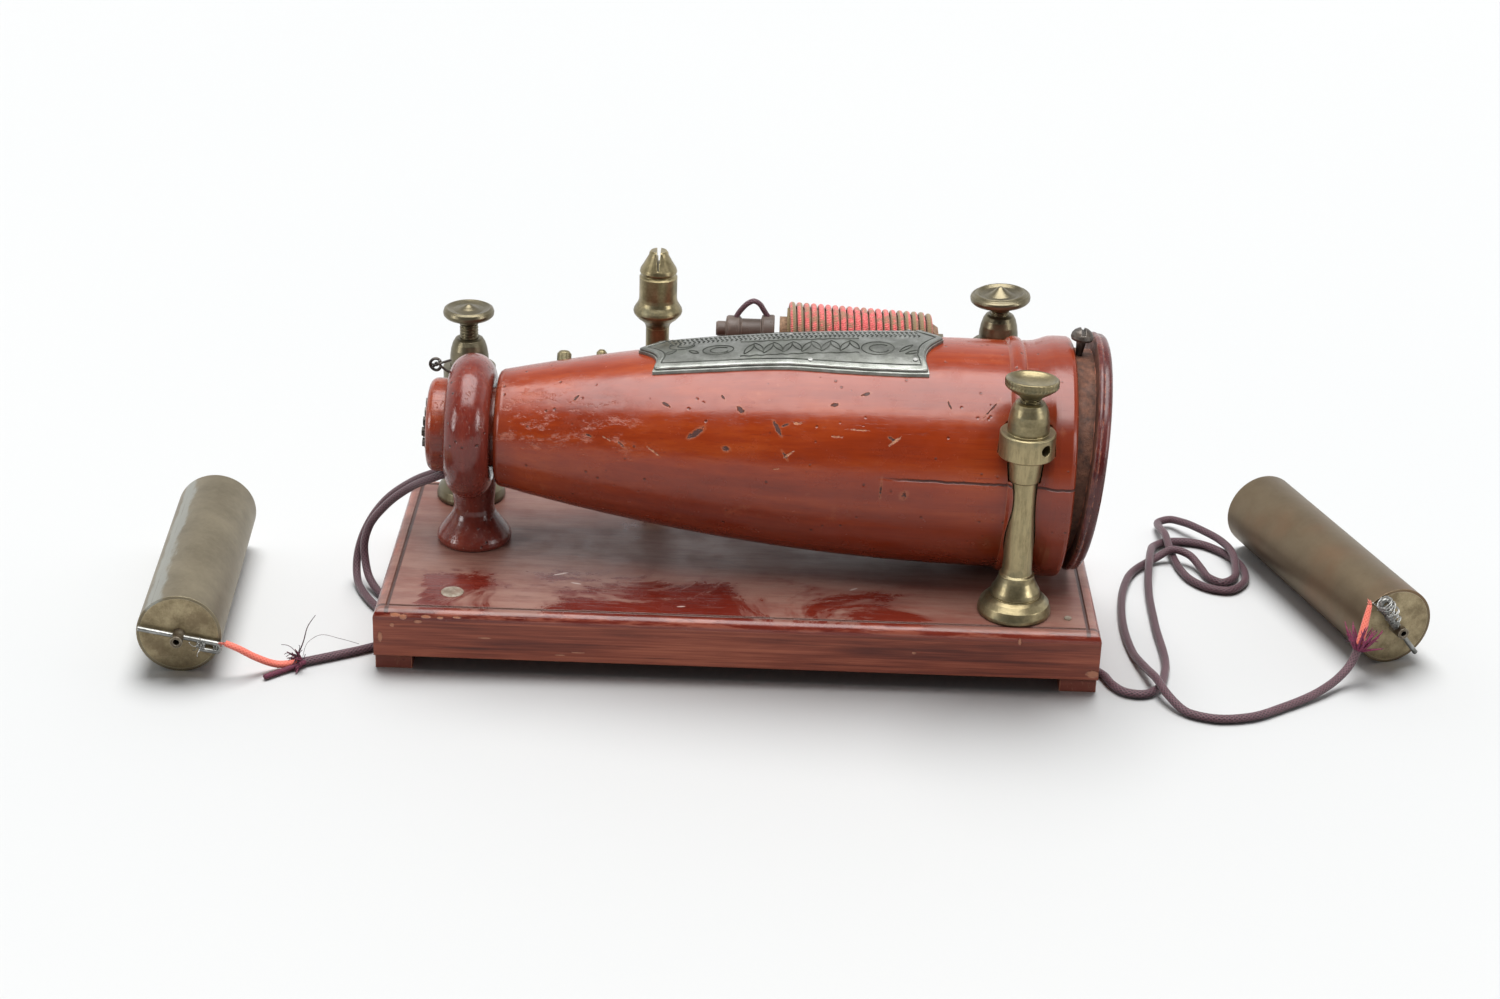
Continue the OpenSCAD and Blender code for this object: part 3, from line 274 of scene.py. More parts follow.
def barrel_wood(name):
    """Orange polish, darker at the ends, with painted shade below, gouges, specks, a crack and scraped
    shoulders.
    """
    s = Shade(name)
    tones = ((0.115, 0.011, 0.003), (0.205, 0.024, 0.004), (0.3, 0.05, 0.008))
    color, fibres = wood_base(s, tones, 0, 1.0, 0.5)
    x, y, z = (s.axis(i) for i in range(3))
    # Painted shade: the colour turns darker towards the underside of the barrel, below z 56 mm.
    color = s.mix(s.ease(z, 0.056, 0.036, 0.0, 0.5), color, (0.15, 0.02, 0.01))
    hollow, rim, pale = gouge_masks(s)
    worn = s.ease(s.noise(s.place, 75, 5, 0.7), 0.6, 0.72)
    turned_ends = s.larger(s.ease(x, 0.086, 0.098), s.ease(x, -0.078, -0.086))
    color = s.tint(color, turned_ends, 0.5, (0.15, 0.024, 0.012))
    color = s.tint(color, worn, 0.22, (0.36, 0.11, 0.045))
    specks = speckles(s, 260, 0.05, 0.2)
    color = s.tint(color, specks, 0.7, (0.03, 0.008, 0.005))
    seam_z = s.fused(x, -0.0115, 0.07322)
    wander = s.times(s.minus(s.noise(s.stretch((1, 0, 0)), 160, 3), 0.5), 0.0012)
    away = s.size(s.minus(s.plus(z, wander), seam_z))
    cracked = s.times(s.ease(x, 0.045, 0.062), s.ease(y, -0.02, -0.03))
    crack = s.times(s.ease(away, 0.0006, 0.0002), cracked)
    dark = s.larger(hollow, crack)
    color = s.tint(color, rim, 0.3, (0.36, 0.13, 0.065))
    color = s.tint(color, dark, 0.9, (0.028, 0.008, 0.006))
    color = s.tint(color, pale, 0.75, (0.42, 0.2, 0.11))
    rub = s.ease(s.noise(s.stretch((0.4, 1, 1)), 210, 5, 0.8), 0.52, 0.68)
    shoulder = s.times(s.ease(z, 0.066, 0.074), s.ease(z, 0.094, 0.086))
    scraped = s.times(rub, s.times(s.ease(x, -0.028, -0.05), shoulder))
    color = s.tint(color, scraped, 0.4, (0.42, 0.16, 0.1))
    height = s.fused(fibres, 0.04, s.times(dark, -0.9))
    height = s.plus(height, s.fused(specks, -0.25, s.fused(pale, -0.4, s.times(scraped, -0.25))))
    dents = s.noise(s.place, 55, 2)
    height = s.fused(dents, 0.5, height)
    soft, edge = s.rounded(0.0005)
    color = s.tint(color, edge, 0.5, (0.36, 0.13, 0.07))
    rough = s.ease(s.noise(s.place, 140, 4), 0.3, 0.75, 0.17, 0.3)
    rough = s.plus(rough, s.times(s.larger(dark, s.times(scraped, 0.4)), 0.4))
    return s.finish(color, rough, s.bump(height, 0.0007, 0.8, soft))


def turned_wood(name, tones, axis, wear, gloss, level=0.5):
    """Dark polish, rubbed to the colour of wear on its edges; gloss is its lowest roughness."""
    s = Shade(name)
    color, fibres = wood_base(s, tones, axis, 1.2)
    soft, edge = s.rounded(0.0006)
    scuffed = s.ease(s.noise(s.place, 120, 5, 0.75), 0.56, 0.7)
    scratched = s.ease(s.noise(s.stretch((1, 1, 0.35)), 420, 4, 0.8, 1.5), 0.6, 0.66)
    worn = s.larger(s.times(edge, 0.75), s.times(s.larger(scuffed, scratched), 0.28))
    color = s.mix(worn, color, wear)
    marks = speckles(s, 300, 0.06, 0.22)
    color = s.tint(color, marks, 0.8, (0.02, 0.006, 0.005))
    waves = s.times(s.noise(s.place, 90, 2), 0.6)
    height = s.fused(fibres, 0.12, s.fused(marks, -0.5, s.fused(scratched, -0.25, waves)))
    rough = s.ease(s.noise(s.place, 210, 4), 0.3, 0.75, gloss, gloss + 0.2)
    return s.finish(color, rough, s.bump(height, 0.0006, 0.7, soft), Specular_IOR_Level=level)


COVER_X, COVER_LEAN = 0.1241, 4.9  # the cover's outer face and its tilt in degrees


def cover_wood(name):
    """The cover: polished outside, rough and brown on the spigot."""
    s = Shade(name)
    tones = ((0.024, 0.004, 0.004), (0.062, 0.008, 0.007), (0.115, 0.017, 0.012))
    color, fibres = wood_base(s, tones, 1, 1.1)
    lean = math.radians(COVER_LEAN)
    out = (math.cos(lean), 0, -math.sin(lean))
    depth = s.vector("DOT_PRODUCT", s.vector("SUBTRACT", s.place, (COVER_X, 0, BARREL_MIDDLE.z)), out)
    raw = s.ease(depth, -0.0046, -0.0052)
    grimy = s.ramp(s.noise(s.place, 260, 5, 0.7),
                   [(0.35, (0.045, 0.018, 0.01)), (0.6, (0.14, 0.055, 0.03)), (0.75, (0.22, 0.1, 0.06))])
    color = s.mix(raw, color, grimy)
    soft, edge = s.rounded(0.0005)
    nicks = s.times(edge, s.ease(s.noise(s.place, 380, 3), 0.45, 0.62))
    color = s.mix(nicks, color, (0.46, 0.15, 0.08))
    rough = s.fused(raw, 0.5, s.ease(s.noise(s.place, 170, 3), 0.3, 0.7, 0.16, 0.34))
    height = s.fused(s.noise(s.place, 700, 4, 0.7), s.times(raw, 0.7), s.times(fibres, 0.1))
    return s.finish(color, rough, s.bump(height, 0.0008, 0.8, soft))


CHIPS = [  # on the board's front edge: x, z, half length, half height
    (-119.1, 21.1, 2, 0.7), (-116.3, 20.5, 1.4, 1), (-111.2, 18.9, 1.6, 0.7), (-120.3, 17.2, 0.9, 0.8),
    (-108.4, 20.8, 1.8, 0.6), (-103.4, 20.6, 1.2, 0.5), (-97.6, 20.9, 1.6, 0.4), (-87.9, 13.3, 2.4, 0.35),
    (-61.7, 7.6, 1.8, 0.3), (-55.4, 8.8, 2.6, 0.25), (98.5, 19.2, 0.6, 1.5), (62, 13.4, 0.8, 0.5),
    (124.8, 7.4, 2.4, 1.6), (-124.6, 12.4, 0.9, 2.0)]
SCRATCHES = [  # on the board's top: x, y, turn in degrees, half length
    (-64.1, -22, 25, 3), (-58, -29, -15, 2), (41, -26, 35, 1.8), (-20, -44, 10, 1.6)]


GROOVE_X, GROOVE_Y = 0.1224, 0.0504  # the scored line round the board's top


def board_wood(name):
    """Top: dusty polish with worn edges. Sides: matt with fine straight grain, chipped along the front."""
    s = Shade(name)
    tones = ((0.05, 0.006, 0.004), (0.105, 0.012, 0.007), (0.165, 0.024, 0.012))
    polish, fibres = wood_base(s, tones, 0, 0.9, 0.6)
    x, y, z = (s.axis(i) for i in range(3))
    side_grain = s.noise(s.stretch((0.022, 1, 1)), 900, 4, 0.65)
    broad = s.noise(s.stretch((0.12, 1, 1)), 120, 3, 0.6)
    tone = s.fused(side_grain, 0.55, s.times(broad, 0.45))
    side = s.ramp(tone, [(0.38, (0.085, 0.016, 0.009)), (0.5, (0.185, 0.04, 0.02)),
                         (0.62, (0.28, 0.076, 0.04))])
    on_side = s.ease(z, 0.0198, 0.0188)
    color = s.mix(on_side, polish, side)
    cloudy_ends = s.larger(s.ease(x, -0.109, -0.116), s.ease(x, 0.058, 0.076))
    cloudy = s.larger(s.ease(y, -0.032, -0.014), cloudy_ends)
    cloud = s.fused(cloudy, 0.19, s.noise(s.stretch((0.6, 1, 1)), 34, 6, 0.7, 0.6))
    dusty = s.times(s.ease(cloud, 0.49, 0.6), s.ease(z, 0.0215, 0.0226))
    streaks = s.noise(s.stretch((0.16, 1, 1)), 150, 5, 0.75)
    color = s.tint(color, dusty, s.ease(streaks, 0.35, 0.65, 0.38, 0.78), (0.25, 0.14, 0.108))
    scrub = s.ease(s.noise(s.stretch((0.25, 1, 1)), 190, 5, 0.8), 0.6, 0.68)
    color = s.tint(color, scrub, 0.2, (0.26, 0.09, 0.06))
    ax, ay = s.size(x), s.size(y)
    groove = s.larger(s.ease(s.size(s.minus(ay, GROOVE_Y)), 0.001, 0.0005),
                      s.ease(s.size(s.minus(ax, GROOVE_X)), 0.001, 0.0005))
    groove = s.times(groove, s.ease(z, 0.0212, 0.0218))
    color = s.tint(color, groove, 0.85, (0.035, 0.013, 0.01))
    lip = s.larger(s.ease(ay, 0.0515, 0.0535), s.ease(ax, 0.1235, 0.1255))
    ragged_lip = s.ease(s.noise(s.stretch((0.12, 0.3, 1)), 420, 4, 0.7), 0.44, 0.6)
    lip = s.times(lip, s.times(s.ease(z, 0.0192, 0.0206), ragged_lip))
    color = s.tint(color, lip, 0.6, (0.3, 0.095, 0.06))
    front = s.ease(y, -0.0515, -0.0525)
    jag = s.times(s.noise(s.place, 1500, 4, 0.7), 1.6)
    chipped = 0.0
    for cx, cz, length, height in CHIPS:
        u = s.times(s.minus(x, cx * MM), 1000 / length)
        v = s.times(s.minus(z, cz * MM), 1000 / height)
        far = s.fused(u, u, s.fused(v, v, jag))
        chipped = s.larger(chipped, s.ease(far, 1.9, 1.3))
    chipped = s.times(chipped, front)
    color = s.tint(color, chipped, 0.85, (0.36, 0.15, 0.085))
    marks = 0.0
    for cx, cy, turn, length in SCRATCHES:
        c, q = math.cos(math.radians(turn)), math.sin(math.radians(turn))
        dx, dy = s.minus(x, cx * MM), s.minus(y, cy * MM)
        u = s.fused(dx, 1000 * c / length, s.times(dy, 1000 * q / length))
        v = s.fused(dx, -q * 2500, s.times(dy, c * 2500))
        marks = s.larger(marks, s.ease(s.fused(u, u, s.times(v, v)), 1.1, 0.7))
    color = s.tint(color, s.times(marks, s.ease(z, 0.0215, 0.0222)), 0.8, (0.5, 0.4, 0.36))
    hair = s.ease(s.noise(s.stretch((0.02, 1, 1)), 1500, 2), 0.66, 0.72)
    color = s.tint(color, hair, 0.4, (0.03, 0.01, 0.008))
    soft, edge = s.rounded(0.0006)
    color = s.tint(color, edge, 0.35, (0.3, 0.12, 0.08))
    rough = s.larger(s.fused(dusty, 0.22, s.ease(s.noise(s.place, 120, 4), 0.3, 0.75, 0.14, 0.3)),
                     s.times(on_side, 0.55))
    height = s.fused(fibres, 0.12, s.fused(chipped, -1.0, s.times(side_grain, s.times(on_side, 0.25))))
    return s.finish(color, rough, s.bump(height, 0.0006, 0.7, soft))


# Metals
def metal(name, tones, rough=(0.28, 0.5), patina=None, edges=None, scale=1.0, metallic=0.9, grain=0.25,
          extra=None):
    """Cloudy old metal with a patina in patches; extra(s, color) may change its colour further."""
    s = Shade(name)
    clouds = s.noise(s.place, 130 * scale, 4, 0.6)
    fine = s.noise(s.place, 1100 * scale, 4, 0.7)
    tone = s.fused(clouds, 0.75, s.times(fine, 0.25))
    color = s.ramp(tone, [(0.36, tones[0]), (0.5, tones[1]), (0.66, tones[2])])
    film = 0.0
    if patina:
        film = s.times(s.ease(s.noise(s.place, 85 * scale, 5, 0.72), 0.47, 0.68), 0.7)
        color = s.mix(film, color, patina)
    soft, edge = s.rounded(0.00035)
    if edges:
        color = s.tint(color, edge, 0.7, edges)
    if extra:
        color = extra(s, color)
    shine = s.fused(s.noise(s.place, 420 * scale, 4), rough[1] - rough[0], rough[0])
    shine = s.fused(film, 0.15, shine)
    height = s.fused(fine, grain, s.times(clouds, 0.3))
    return s.finish(color, shine, s.bump(height, 0.00025, 0.6, soft), Metallic=metallic)


def handle_frame(place, azimuth):
    """Matrix whose Z leaves the near end of a handle, with its centre on that end."""
    lying = Matrix.Rotation(math.radians(azimuth), 4, "Z") @ Matrix.Rotation(math.pi / 2, 4, "X")
    return Matrix.Translation(Vector(place) * MM) @ lying


HANDLE_R = 14.6
SEAM_TURN = 127  # degrees round the left handle
LEFT_HANDLE = handle_frame((-193.3, -62.1, HANDLE_R), 3.55)
RIGHT_HANDLE = handle_frame((235.8, -23.9, HANDLE_R), 19.2)


def tarnish(s, color):
    """Silvery streaks along the left handle's seam; a browner right handle."""
    axis = LEFT_HANDLE.to_3x3() @ UP
    turn = math.radians(SEAM_TURN)
    point = LEFT_HANDLE @ Vector((HANDLE_R * math.cos(turn) * MM, HANDLE_R * math.sin(turn) * MM, 0))
    ragged = s.times(s.noise(s.stretch((1, 0.25, 1)), 240, 4, 0.7), 0.009)
    seam = s.near_line(point, axis, 0.0026, 0.0052, s.minus(ragged, 0.0035))
    color = s.tint(color, seam, 0.7, (0.37, 0.38, 0.35))
    crack = s.near_line(point, axis, 0.0002, 0.0006, s.times(ragged, 0.1))
    color = s.tint(color, crack, 0.8, (0.07, 0.06, 0.045))
    right = s.ease(s.axis(0), 0.0, 0.1)
    color = s.tint(color, right, 0.55, (0.135, 0.088, 0.05))
    warm = s.times(right, s.ease(s.noise(s.place, 40, 2), 0.45, 0.7))
    return s.tint(color, warm, 0.35, (0.21, 0.105, 0.055))


def aged_and_sheen(s, color):
    """Duller brass at the back; the front column is handled and pale, in upright streaks that are partly
    painted reflection.
    """
    x, y, z = (s.axis(i) for i in range(3))
    corners = s.times(s.ease(y, 0.0, 0.02), s.ease(s.size(x), 0.06, 0.08))
    color = s.tint(color, corners, 0.68, (0.12, 0.106, 0.075))
    # The front columns are paler: handled brass, with its upright streaks partly a painted reflection.
    column_height = s.times(s.ease(z, 0.095, 0.085), s.ease(z, 0.034, 0.046))
    column = s.times(s.ease(y, -0.02, -0.03), column_height)
    streaks = s.ease(s.noise(s.stretch((1, 1, 0.12)), 650, 5, 0.75), 0.4, 0.62, 0.3, 0.85)
    return s.tint(color, column, streaks, (0.42, 0.34, 0.19))


def matt(name, tones, scale, rough=0.85, depth=0.4):
    """Unpolished fibre or wood."""
    s = Shade(name)
    grain = s.noise(s.place, scale, 5, 0.7)
    color = s.ramp(grain, [(0.35, tones[0]), (0.65, tones[1])])
    return s.finish(color, rough, s.bump(grain, 0.0005, depth))


def cord_uv(s):
    """(millimetres along the cord, turns round it)."""
    parts = s.add("ShaderNodeSeparateXYZ", {0: s.uv})
    return parts.outputs[0], parts.outputs[1]


def threads(name, tones, pitch, strands, slant, rough, depth=0.00018):
    """Braided cord, its strands crossing each other."""
    s = Shade(name)
    along, turn = cord_uv(s)

    def helix(sign):
        phase = s.fused(turn, sign * strands, s.times(along, slant / pitch))
        return s.fused(s.math("SINE", s.times(phase, TAU)), 0.5, 0.5)

    weave = s.larger(helix(1), helix(-1))
    fuzz = s.noise(s.place, 2400, 3, 0.7)
    tone = s.fused(weave, 0.6, s.times(fuzz, 0.5))
    color = s.ramp(tone, [(0.3, tones[0]), (0.62, tones[1]), (0.9, tones[2])])
    patches = s.ease(s.noise(s.place, 90, 3), 0.45, 0.7)
    color = s.tint(color, patches, 0.3, tones[2])
    height = s.fused(fuzz, 0.4, weave)
    return s.finish(color, rough, s.bump(height, depth, 0.9), Sheen_Weight=0.25, Sheen_Roughness=0.4)


def winding_cotton(name):
    """Coral red covering with olive brown showing between its turns and where it is rubbed."""
    s = Shade(name)
    along, turn = cord_uv(s)
    wrap = s.math("SINE", s.times(s.fused(along, 1.6, s.times(turn, 2.0)), TAU))
    fuzz = s.noise(s.place, 1500, 4, 0.7)
    tone = s.fused(wrap, 0.12, fuzz)
    color = s.ramp(tone, [(0.32, (0.36, 0.034, 0.036)), (0.55, (0.62, 0.1, 0.098)),
                          (0.75, (0.8, 0.27, 0.24))])
    rubbed = s.ease(s.noise(s.stretch((0.6, 1, 1)), 330, 4, 0.75), 0.48, 0.57)
    inward = s.ease(s.size(s.minus(turn, 0.5)), 0.27, 0.36)
    color = s.mix(s.larger(s.times(rubbed, 0.75), inward), color, (0.19, 0.135, 0.065))
    normal = s.bump(s.fused(wrap, 0.4, fuzz), 0.0002, 0.8)
    return s.finish(color, 0.8, normal, Sheen_Weight=0.3, Sheen_Roughness=0.5)


LOOKS = {  # function and its values
    "board_wood": (board_wood,),
    "foot_wood": (turned_wood, ((0.05, 0.012, 0.009), (0.12, 0.03, 0.02), (0.2, 0.055, 0.035)), 0,
        (0.32, 0.14, 0.08), 0.45, 0.3),
    "wire_copper": (metal, ((0.16, 0.06, 0.03), (0.36, 0.14, 0.07), (0.55, 0.24, 0.12))),
    "terminal_brass": (metal, ((0.15, 0.12, 0.062), (0.235, 0.195, 0.108), (0.36, 0.3, 0.17)), (0.24, 0.42),
        (0.145, 0.14, 0.09), (0.5, 0.42, 0.23), 1.0, 0.9, 0.25, aged_and_sheen),
    "dark_wood": (turned_wood, ((0.055, 0.009, 0.007), (0.12, 0.018, 0.012), (0.2, 0.036, 0.02)), 2,
        (0.34, 0.15, 0.1), 0.1),
    "cover_wood": (cover_wood,),
    "barrel_wood": (barrel_wood,),
    "cap_wood": (turned_wood, ((0.075, 0.01, 0.006), (0.165, 0.022, 0.009), (0.27, 0.052, 0.016)), 0,
        (0.38, 0.17, 0.1), 0.16),
    "raw_wood": (matt, ((0.1, 0.055, 0.03), (0.28, 0.17, 0.1)), 900),
    "green_silk": (matt, ((0.05, 0.11, 0.055), (0.15, 0.28, 0.16)), 1600),
    "dark_iron": (metal, ((0.035, 0.03, 0.027), (0.09, 0.08, 0.072), (0.2, 0.18, 0.16)), (0.35, 0.6),
        (0.08, 0.05, 0.03), (0.3, 0.28, 0.25)),
    "pewter_plate": (metal, ((0.13, 0.134, 0.12), (0.205, 0.21, 0.192), (0.29, 0.298, 0.275)), (0.3, 0.42),
        (0.17, 0.18, 0.155), (0.5, 0.52, 0.48), 1.4),
    "steel_wire": (metal, ((0.16, 0.16, 0.15), (0.3, 0.3, 0.285), (0.5, 0.5, 0.48)), (0.25, 0.45), None,
        (0.55, 0.55, 0.53)),
    "spool_wood": (turned_wood, ((0.035, 0.024, 0.018), (0.085, 0.06, 0.048), (0.15, 0.11, 0.09)), 0,
        (0.2, 0.15, 0.12), 0.4, 0.4),
    "cord_braid": (threads, ((0.01, 0.004, 0.006), (0.05, 0.018, 0.026), (0.125, 0.054, 0.068)), 1.7, 8,
        1.0, 0.5),
    "cotton_winding": (matt, ((0.1, 0.07, 0.03), (0.24, 0.18, 0.09)), 1800),
    "winding_cotton": (winding_cotton,),
    "core_thread": (threads, ((0.52, 0.085, 0.055), (0.64, 0.125, 0.085), (0.72, 0.19, 0.135)), 1.4, 6, 1.0,
        0.7, 0.00006),
    "handle_brass": (metal, ((0.175, 0.145, 0.095), (0.215, 0.18, 0.12), (0.255, 0.215, 0.145)),
        (0.4, 0.48), None, (0.38, 0.33, 0.22), 0.5, 0.95, 0.12, tarnish),
    "handle_disc": (metal, ((0.2, 0.155, 0.09), (0.31, 0.25, 0.15), (0.43, 0.355, 0.22)), (0.38, 0.55),
        (0.22, 0.165, 0.1), (0.46, 0.4, 0.27), 1.4),
    "nipple_metal": (metal, ((0.07, 0.05, 0.035), (0.17, 0.14, 0.1), (0.34, 0.31, 0.26)), (0.35, 0.6), None,
        (0.42, 0.38, 0.31), 2.0),
    "worn_plug": (metal, ((0.19, 0.145, 0.105), (0.32, 0.27, 0.21), (0.46, 0.42, 0.35)), (0.45, 0.65),
        (0.2, 0.12, 0.085), None, 2.2, 0.55, 0.6),
    "engraved_line": (metal, ((0.03, 0.032, 0.028), (0.06, 0.064, 0.055), (0.13, 0.135, 0.12)), (0.5, 0.7)),
    # A lighter copy of pewter_plate for the plate's front edge: a painted highlight.
    "bright_pewter": (metal, ((0.26, 0.27, 0.25), (0.42, 0.43, 0.4), (0.6, 0.62, 0.58)), (0.24, 0.4), None,
        None, 2.0),
    "fray_wine": (matt, ((0.035, 0.008, 0.014), (0.16, 0.022, 0.055)), 1500, 0.75),
    "fray_purple": (matt, ((0.075, 0.01, 0.03), (0.27, 0.034, 0.1)), 1500, 0.75),
    "fray_dark": (matt, ((0.02, 0.008, 0.012), (0.08, 0.03, 0.045)), 1500, 0.75),
}
MATERIALS = {name: build(name, *settings) for name, (build, *settings) in LOOKS.items()}

OTHER_LOOKS = {"cover_disc": "cover_wood", "end_cap": "cap_wood", "board_plugs": "worn_plug",
               "magnet_winding": "winding_cotton"}
for part in frame["record"]["subparts"]:
    cad = frame["nodes"][part["node"]]
    cad.data.materials.clear()
    cad.data.materials.append(MATERIALS[OTHER_LOOKS.get(part["node"], part["material_slot"])])


# Shapes
def smooth_line(points, steps):
    """A curve through points (mm), eased for their spacing, in metres."""
    p = [Vector(q) * MM for q in points]
    gaps = [(b - a).length for a, b in zip(p, p[1:])]
    slopes = [(p[1] - p[0]) / gaps[0]]
    for i in range(1, len(p) - 1):
        before, after = (p[i] - p[i - 1]) / gaps[i - 1], (p[i + 1] - p[i]) / gaps[i]
        slopes.append((before * gaps[i] + after * gaps[i - 1]) / (gaps[i - 1] + gaps[i]))
    slopes.append((p[-1] - p[-2]) / gaps[-1])
    line = []
    for i, gap in enumerate(gaps):
        for k in range(steps):
            t = k / steps
            a, b = 1 - t, t
            line.append(a * a * (1 + 2 * b) * p[i] + b * b * (1 + 2 * a) * p[i + 1]
                        + gap * a * b * (a * slopes[i] - b * slopes[i + 1]))
    return line + [p[-1]]


class Shape:
    """A mesh put together from tubes and turned solids, with UVs in millimetres and turns."""

    def __init__(self):
        self.points, self.faces, self.uvs = [], [], []

    def grid(self, rows, u_values):
        """Faces between rings of points."""
        start, width = len(self.points), len(rows[0])
        for row in rows:
            self.points.extend(row)
        for i in range(len(rows) - 1):
            for k in range(width):
                a, b = start + i * width + k, start + i * width + (k + 1) % width
                self.faces.append((a, b, b + width, a + width))
                u0, u1, v0, v1 = u_values[i], u_values[i + 1], k / width, (k + 1) / width
                self.uvs.append(((u0, v0), (u0, v1), (u1, v1), (u1, v0)))
        return start, width

    def cap(self, ring, flip):
        self.faces.append(tuple(reversed(ring)) if flip else tuple(ring))
        self.uvs.append(tuple((0.0, k / len(ring)) for k in range(len(ring))))

    def tube(self, line, radius, sides=8, taper=None):
        """Tube of radius mm along line; taper gives a factor of the radius for 0 to 1 along it."""
        steps = [(b - a).normalized() for a, b in zip(line, line[1:])]
        tangents = [steps[0]] + [(a + b).normalized() for a, b in zip(steps, steps[1:])] + [steps[-1]]
        normal = steps[0].orthogonal().normalized()
        rows, along = [], [0.0]
        for i, (point, tangent) in enumerate(zip(line, tangents)):
            normal = (normal - normal.dot(tangent) * tangent).normalized()
            side = tangent.cross(normal)
            r = radius * MM * (taper(i / (len(line) - 1)) if taper else 1.0)
            rows.append([point + r * around(TAU * k / sides, normal, side) for k in range(sides)])
            if i:
                along.append(along[-1] + (point - line[i - 1]).length / MM)
        start, width = self.grid(rows, along)
        self.cap(range(start, start + width), True)
        self.cap(range(start + (len(rows) - 1) * width, start + len(rows) * width), False)
        return self

    def lathe(self, profile, place, segments, wave):
        """Profile of (radius, height) in mm, turned about the Z of place; wave(radius, k) changes it."""
        rows = []
        for radius, height in profile:
            ring = []
            for k in range(segments):
                r = max(radius, 0.001) + wave(radius, k)
                a = TAU * k / segments
                ring.append(place @ (Vector((r * math.cos(a), r * math.sin(a), height)) * MM))
            rows.append(ring)
        self.grid(rows, [height for radius, height in profile])
        return self

    def make(self, name, slot, look=None, body="root", replaces=()):
        mesh = bpy.data.meshes.new(name)
        mesh.from_pydata(self.points, [], self.faces)
        layer = mesh.uv_layers.new(name="UVMap")
        flat = [uv for face in self.uvs for uv in face]
        for loop, uv in zip(layer.data, flat):
            loop.uv = uv
        for polygon in mesh.polygons:
            polygon.use_smooth = True
        mesh.materials.append(MATERIALS[look or slot])
        thing = add_object(name, mesh)
        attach(thing, body)
        if replaces:
            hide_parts(*replaces)
        return thing


THREAD_REST = 0.6  # mm, the lowest middle line of a loose thread


def curl(start, direction, length, bend, rng, steps, droop=0.0):
    """A loose thread: mm in, metres out."""
    point = Vector((start[0], start[1], max(start[2], THREAD_REST)))
    heading = Vector(direction).normalized()
    axis = Vector((rng.uniform(-1, 1), rng.uniform(-1, 1), rng.uniform(-1, 1))).normalized()
    line = [point * MM]
    for _ in range(steps):
        turned = Matrix.Rotation(bend * rng.uniform(0.4, 1.4) / steps, 3, axis) @ heading
        heading = (turned - droop * UP / steps).normalized()
        point = point + heading * length / steps
        point.z = max(point.z, THREAD_REST)
        line.append(point * MM)
    return line


# Cords: middle lines in mm, from inside the barrel to the handles
CORD_R = 1.5
LEFT_ROUTE = [
    (-103, 1.8, 51), (-108, 1.8, 51), (-112, 3.2, 49.2), (-123, 10.2, 41), (-132.4, 14.6, 31.5),
    (-139, 16.4, 21), (-141.4, 16.2, 15.2), (-142.8, 14.6, 9.6), (-142.8, 11, 4.8), (-141.6, 6.2, 2),
    (-139.5, 1, 1.5), (-134.8, -8, 1.5), (-128, -18, 1.5), (-123.4, -27, 1.5), (-122.6, -34, 1.5),
    (-125.6, -39.6, 1.5), (-131.4, -43.9, 1.5), (-141, -49.4, 1.5), (-154, -56.4, 1.5)]
RIGHT_ROUTE = [
    (-103, -1.8, 51), (-108, -1.8, 51), (-112, -0.5, 48.9), (-121.8, 6.7, 41.2), (-131.4, 11.1, 31.6),
    (-138.2, 12.9, 21.4), (-139.9, 12.6, 14.8), (-139.4, 10.7, 8.8), (-138, 7.6, 4.7), (-135.2, 3, 2.3),
    (-130.5, -3.6, 1.5), (-121, -11, 1.5), (-100, -20, 1.5), (0, -34, 1.5), (60, -37, 1.5), (117, -37, 1.5),
    (125.5, -39, 1.5), (130.2, -44.5, 1.5), (132.6, -51, 1.5), (137, -56.4, 1.5), (143.4, -57.2, 1.5),
    (148.8, -52.6, 1.5), (151.8, -44, 1.5), (153.4, -4, 1.5), (154, 18, 1.5), (155, 31, 3),
    (156.6, 42, 4.8), (158.4, 52, 4.2), (161, 61, 2), (166, 65.8, 1.5), (173, 66.8, 1.5), (180, 65, 1.5),
    (187, 58.6, 1.5), (191.6, 51, 1.5), (193.4, 41, 1.5), (191.2, 31.6, 1.5), (185, 25.6, 1.5),
    (178, 27, 1.5), (172, 33, 1.5), (168.8, 42, 1.5), (167.4, 52, 1.5), (166.3, 59, 3.3), (165.6, 66, 4.8),
    (164.6, 75, 3.4), (165.2, 81.6, 2.6), (169.2, 83.4, 3), (174, 79, 4.2), (180.6, 71, 4.8),
    (187, 61.6, 4.8), (190, 51, 4.5), (190, 43, 2.9), (188.2, 35.6, 1.8), (183.4, 32.2, 1.5),
    (179, 35.8, 1.5), (176.6, 43, 2.2), (172.6, 50, 4.2), (167, 52.6, 4.8), (160.6, 50, 2.4),
    (154.6, 44.8, 1.5), (149.4, 37.4, 1.5), (145.2, 25, 1.5), (142.4, 8, 1.5), (142.8, -28, 1.5),
    (145.6, -42, 3.4), (148, -52, 4.8), (151, -61, 3.4), (157, -69.4, 1.5), (165, -72.7, 1.5),
    (178, -71, 1.5), (192, -62.4, 1.5), (207, -51, 2.6), (213.6, -44.6, 4.2), (217.6, -40.6, 6.8),
    (219.8, -38.2, 10), (221, -36.9, 13)]
LEFT_CORE = [
    (-154, -56.4, 1.5), (-160, -58.6, 2), (-167, -61.4, 5.9), (-173, -63.2, 10.3), (-177, -63.6, 12.3)]
RIGHT_CORE = [(221, -36.9, 13), (222, -35.2, 17.5), (223, -33.4, 22), (224, -31.6, 26.4)]


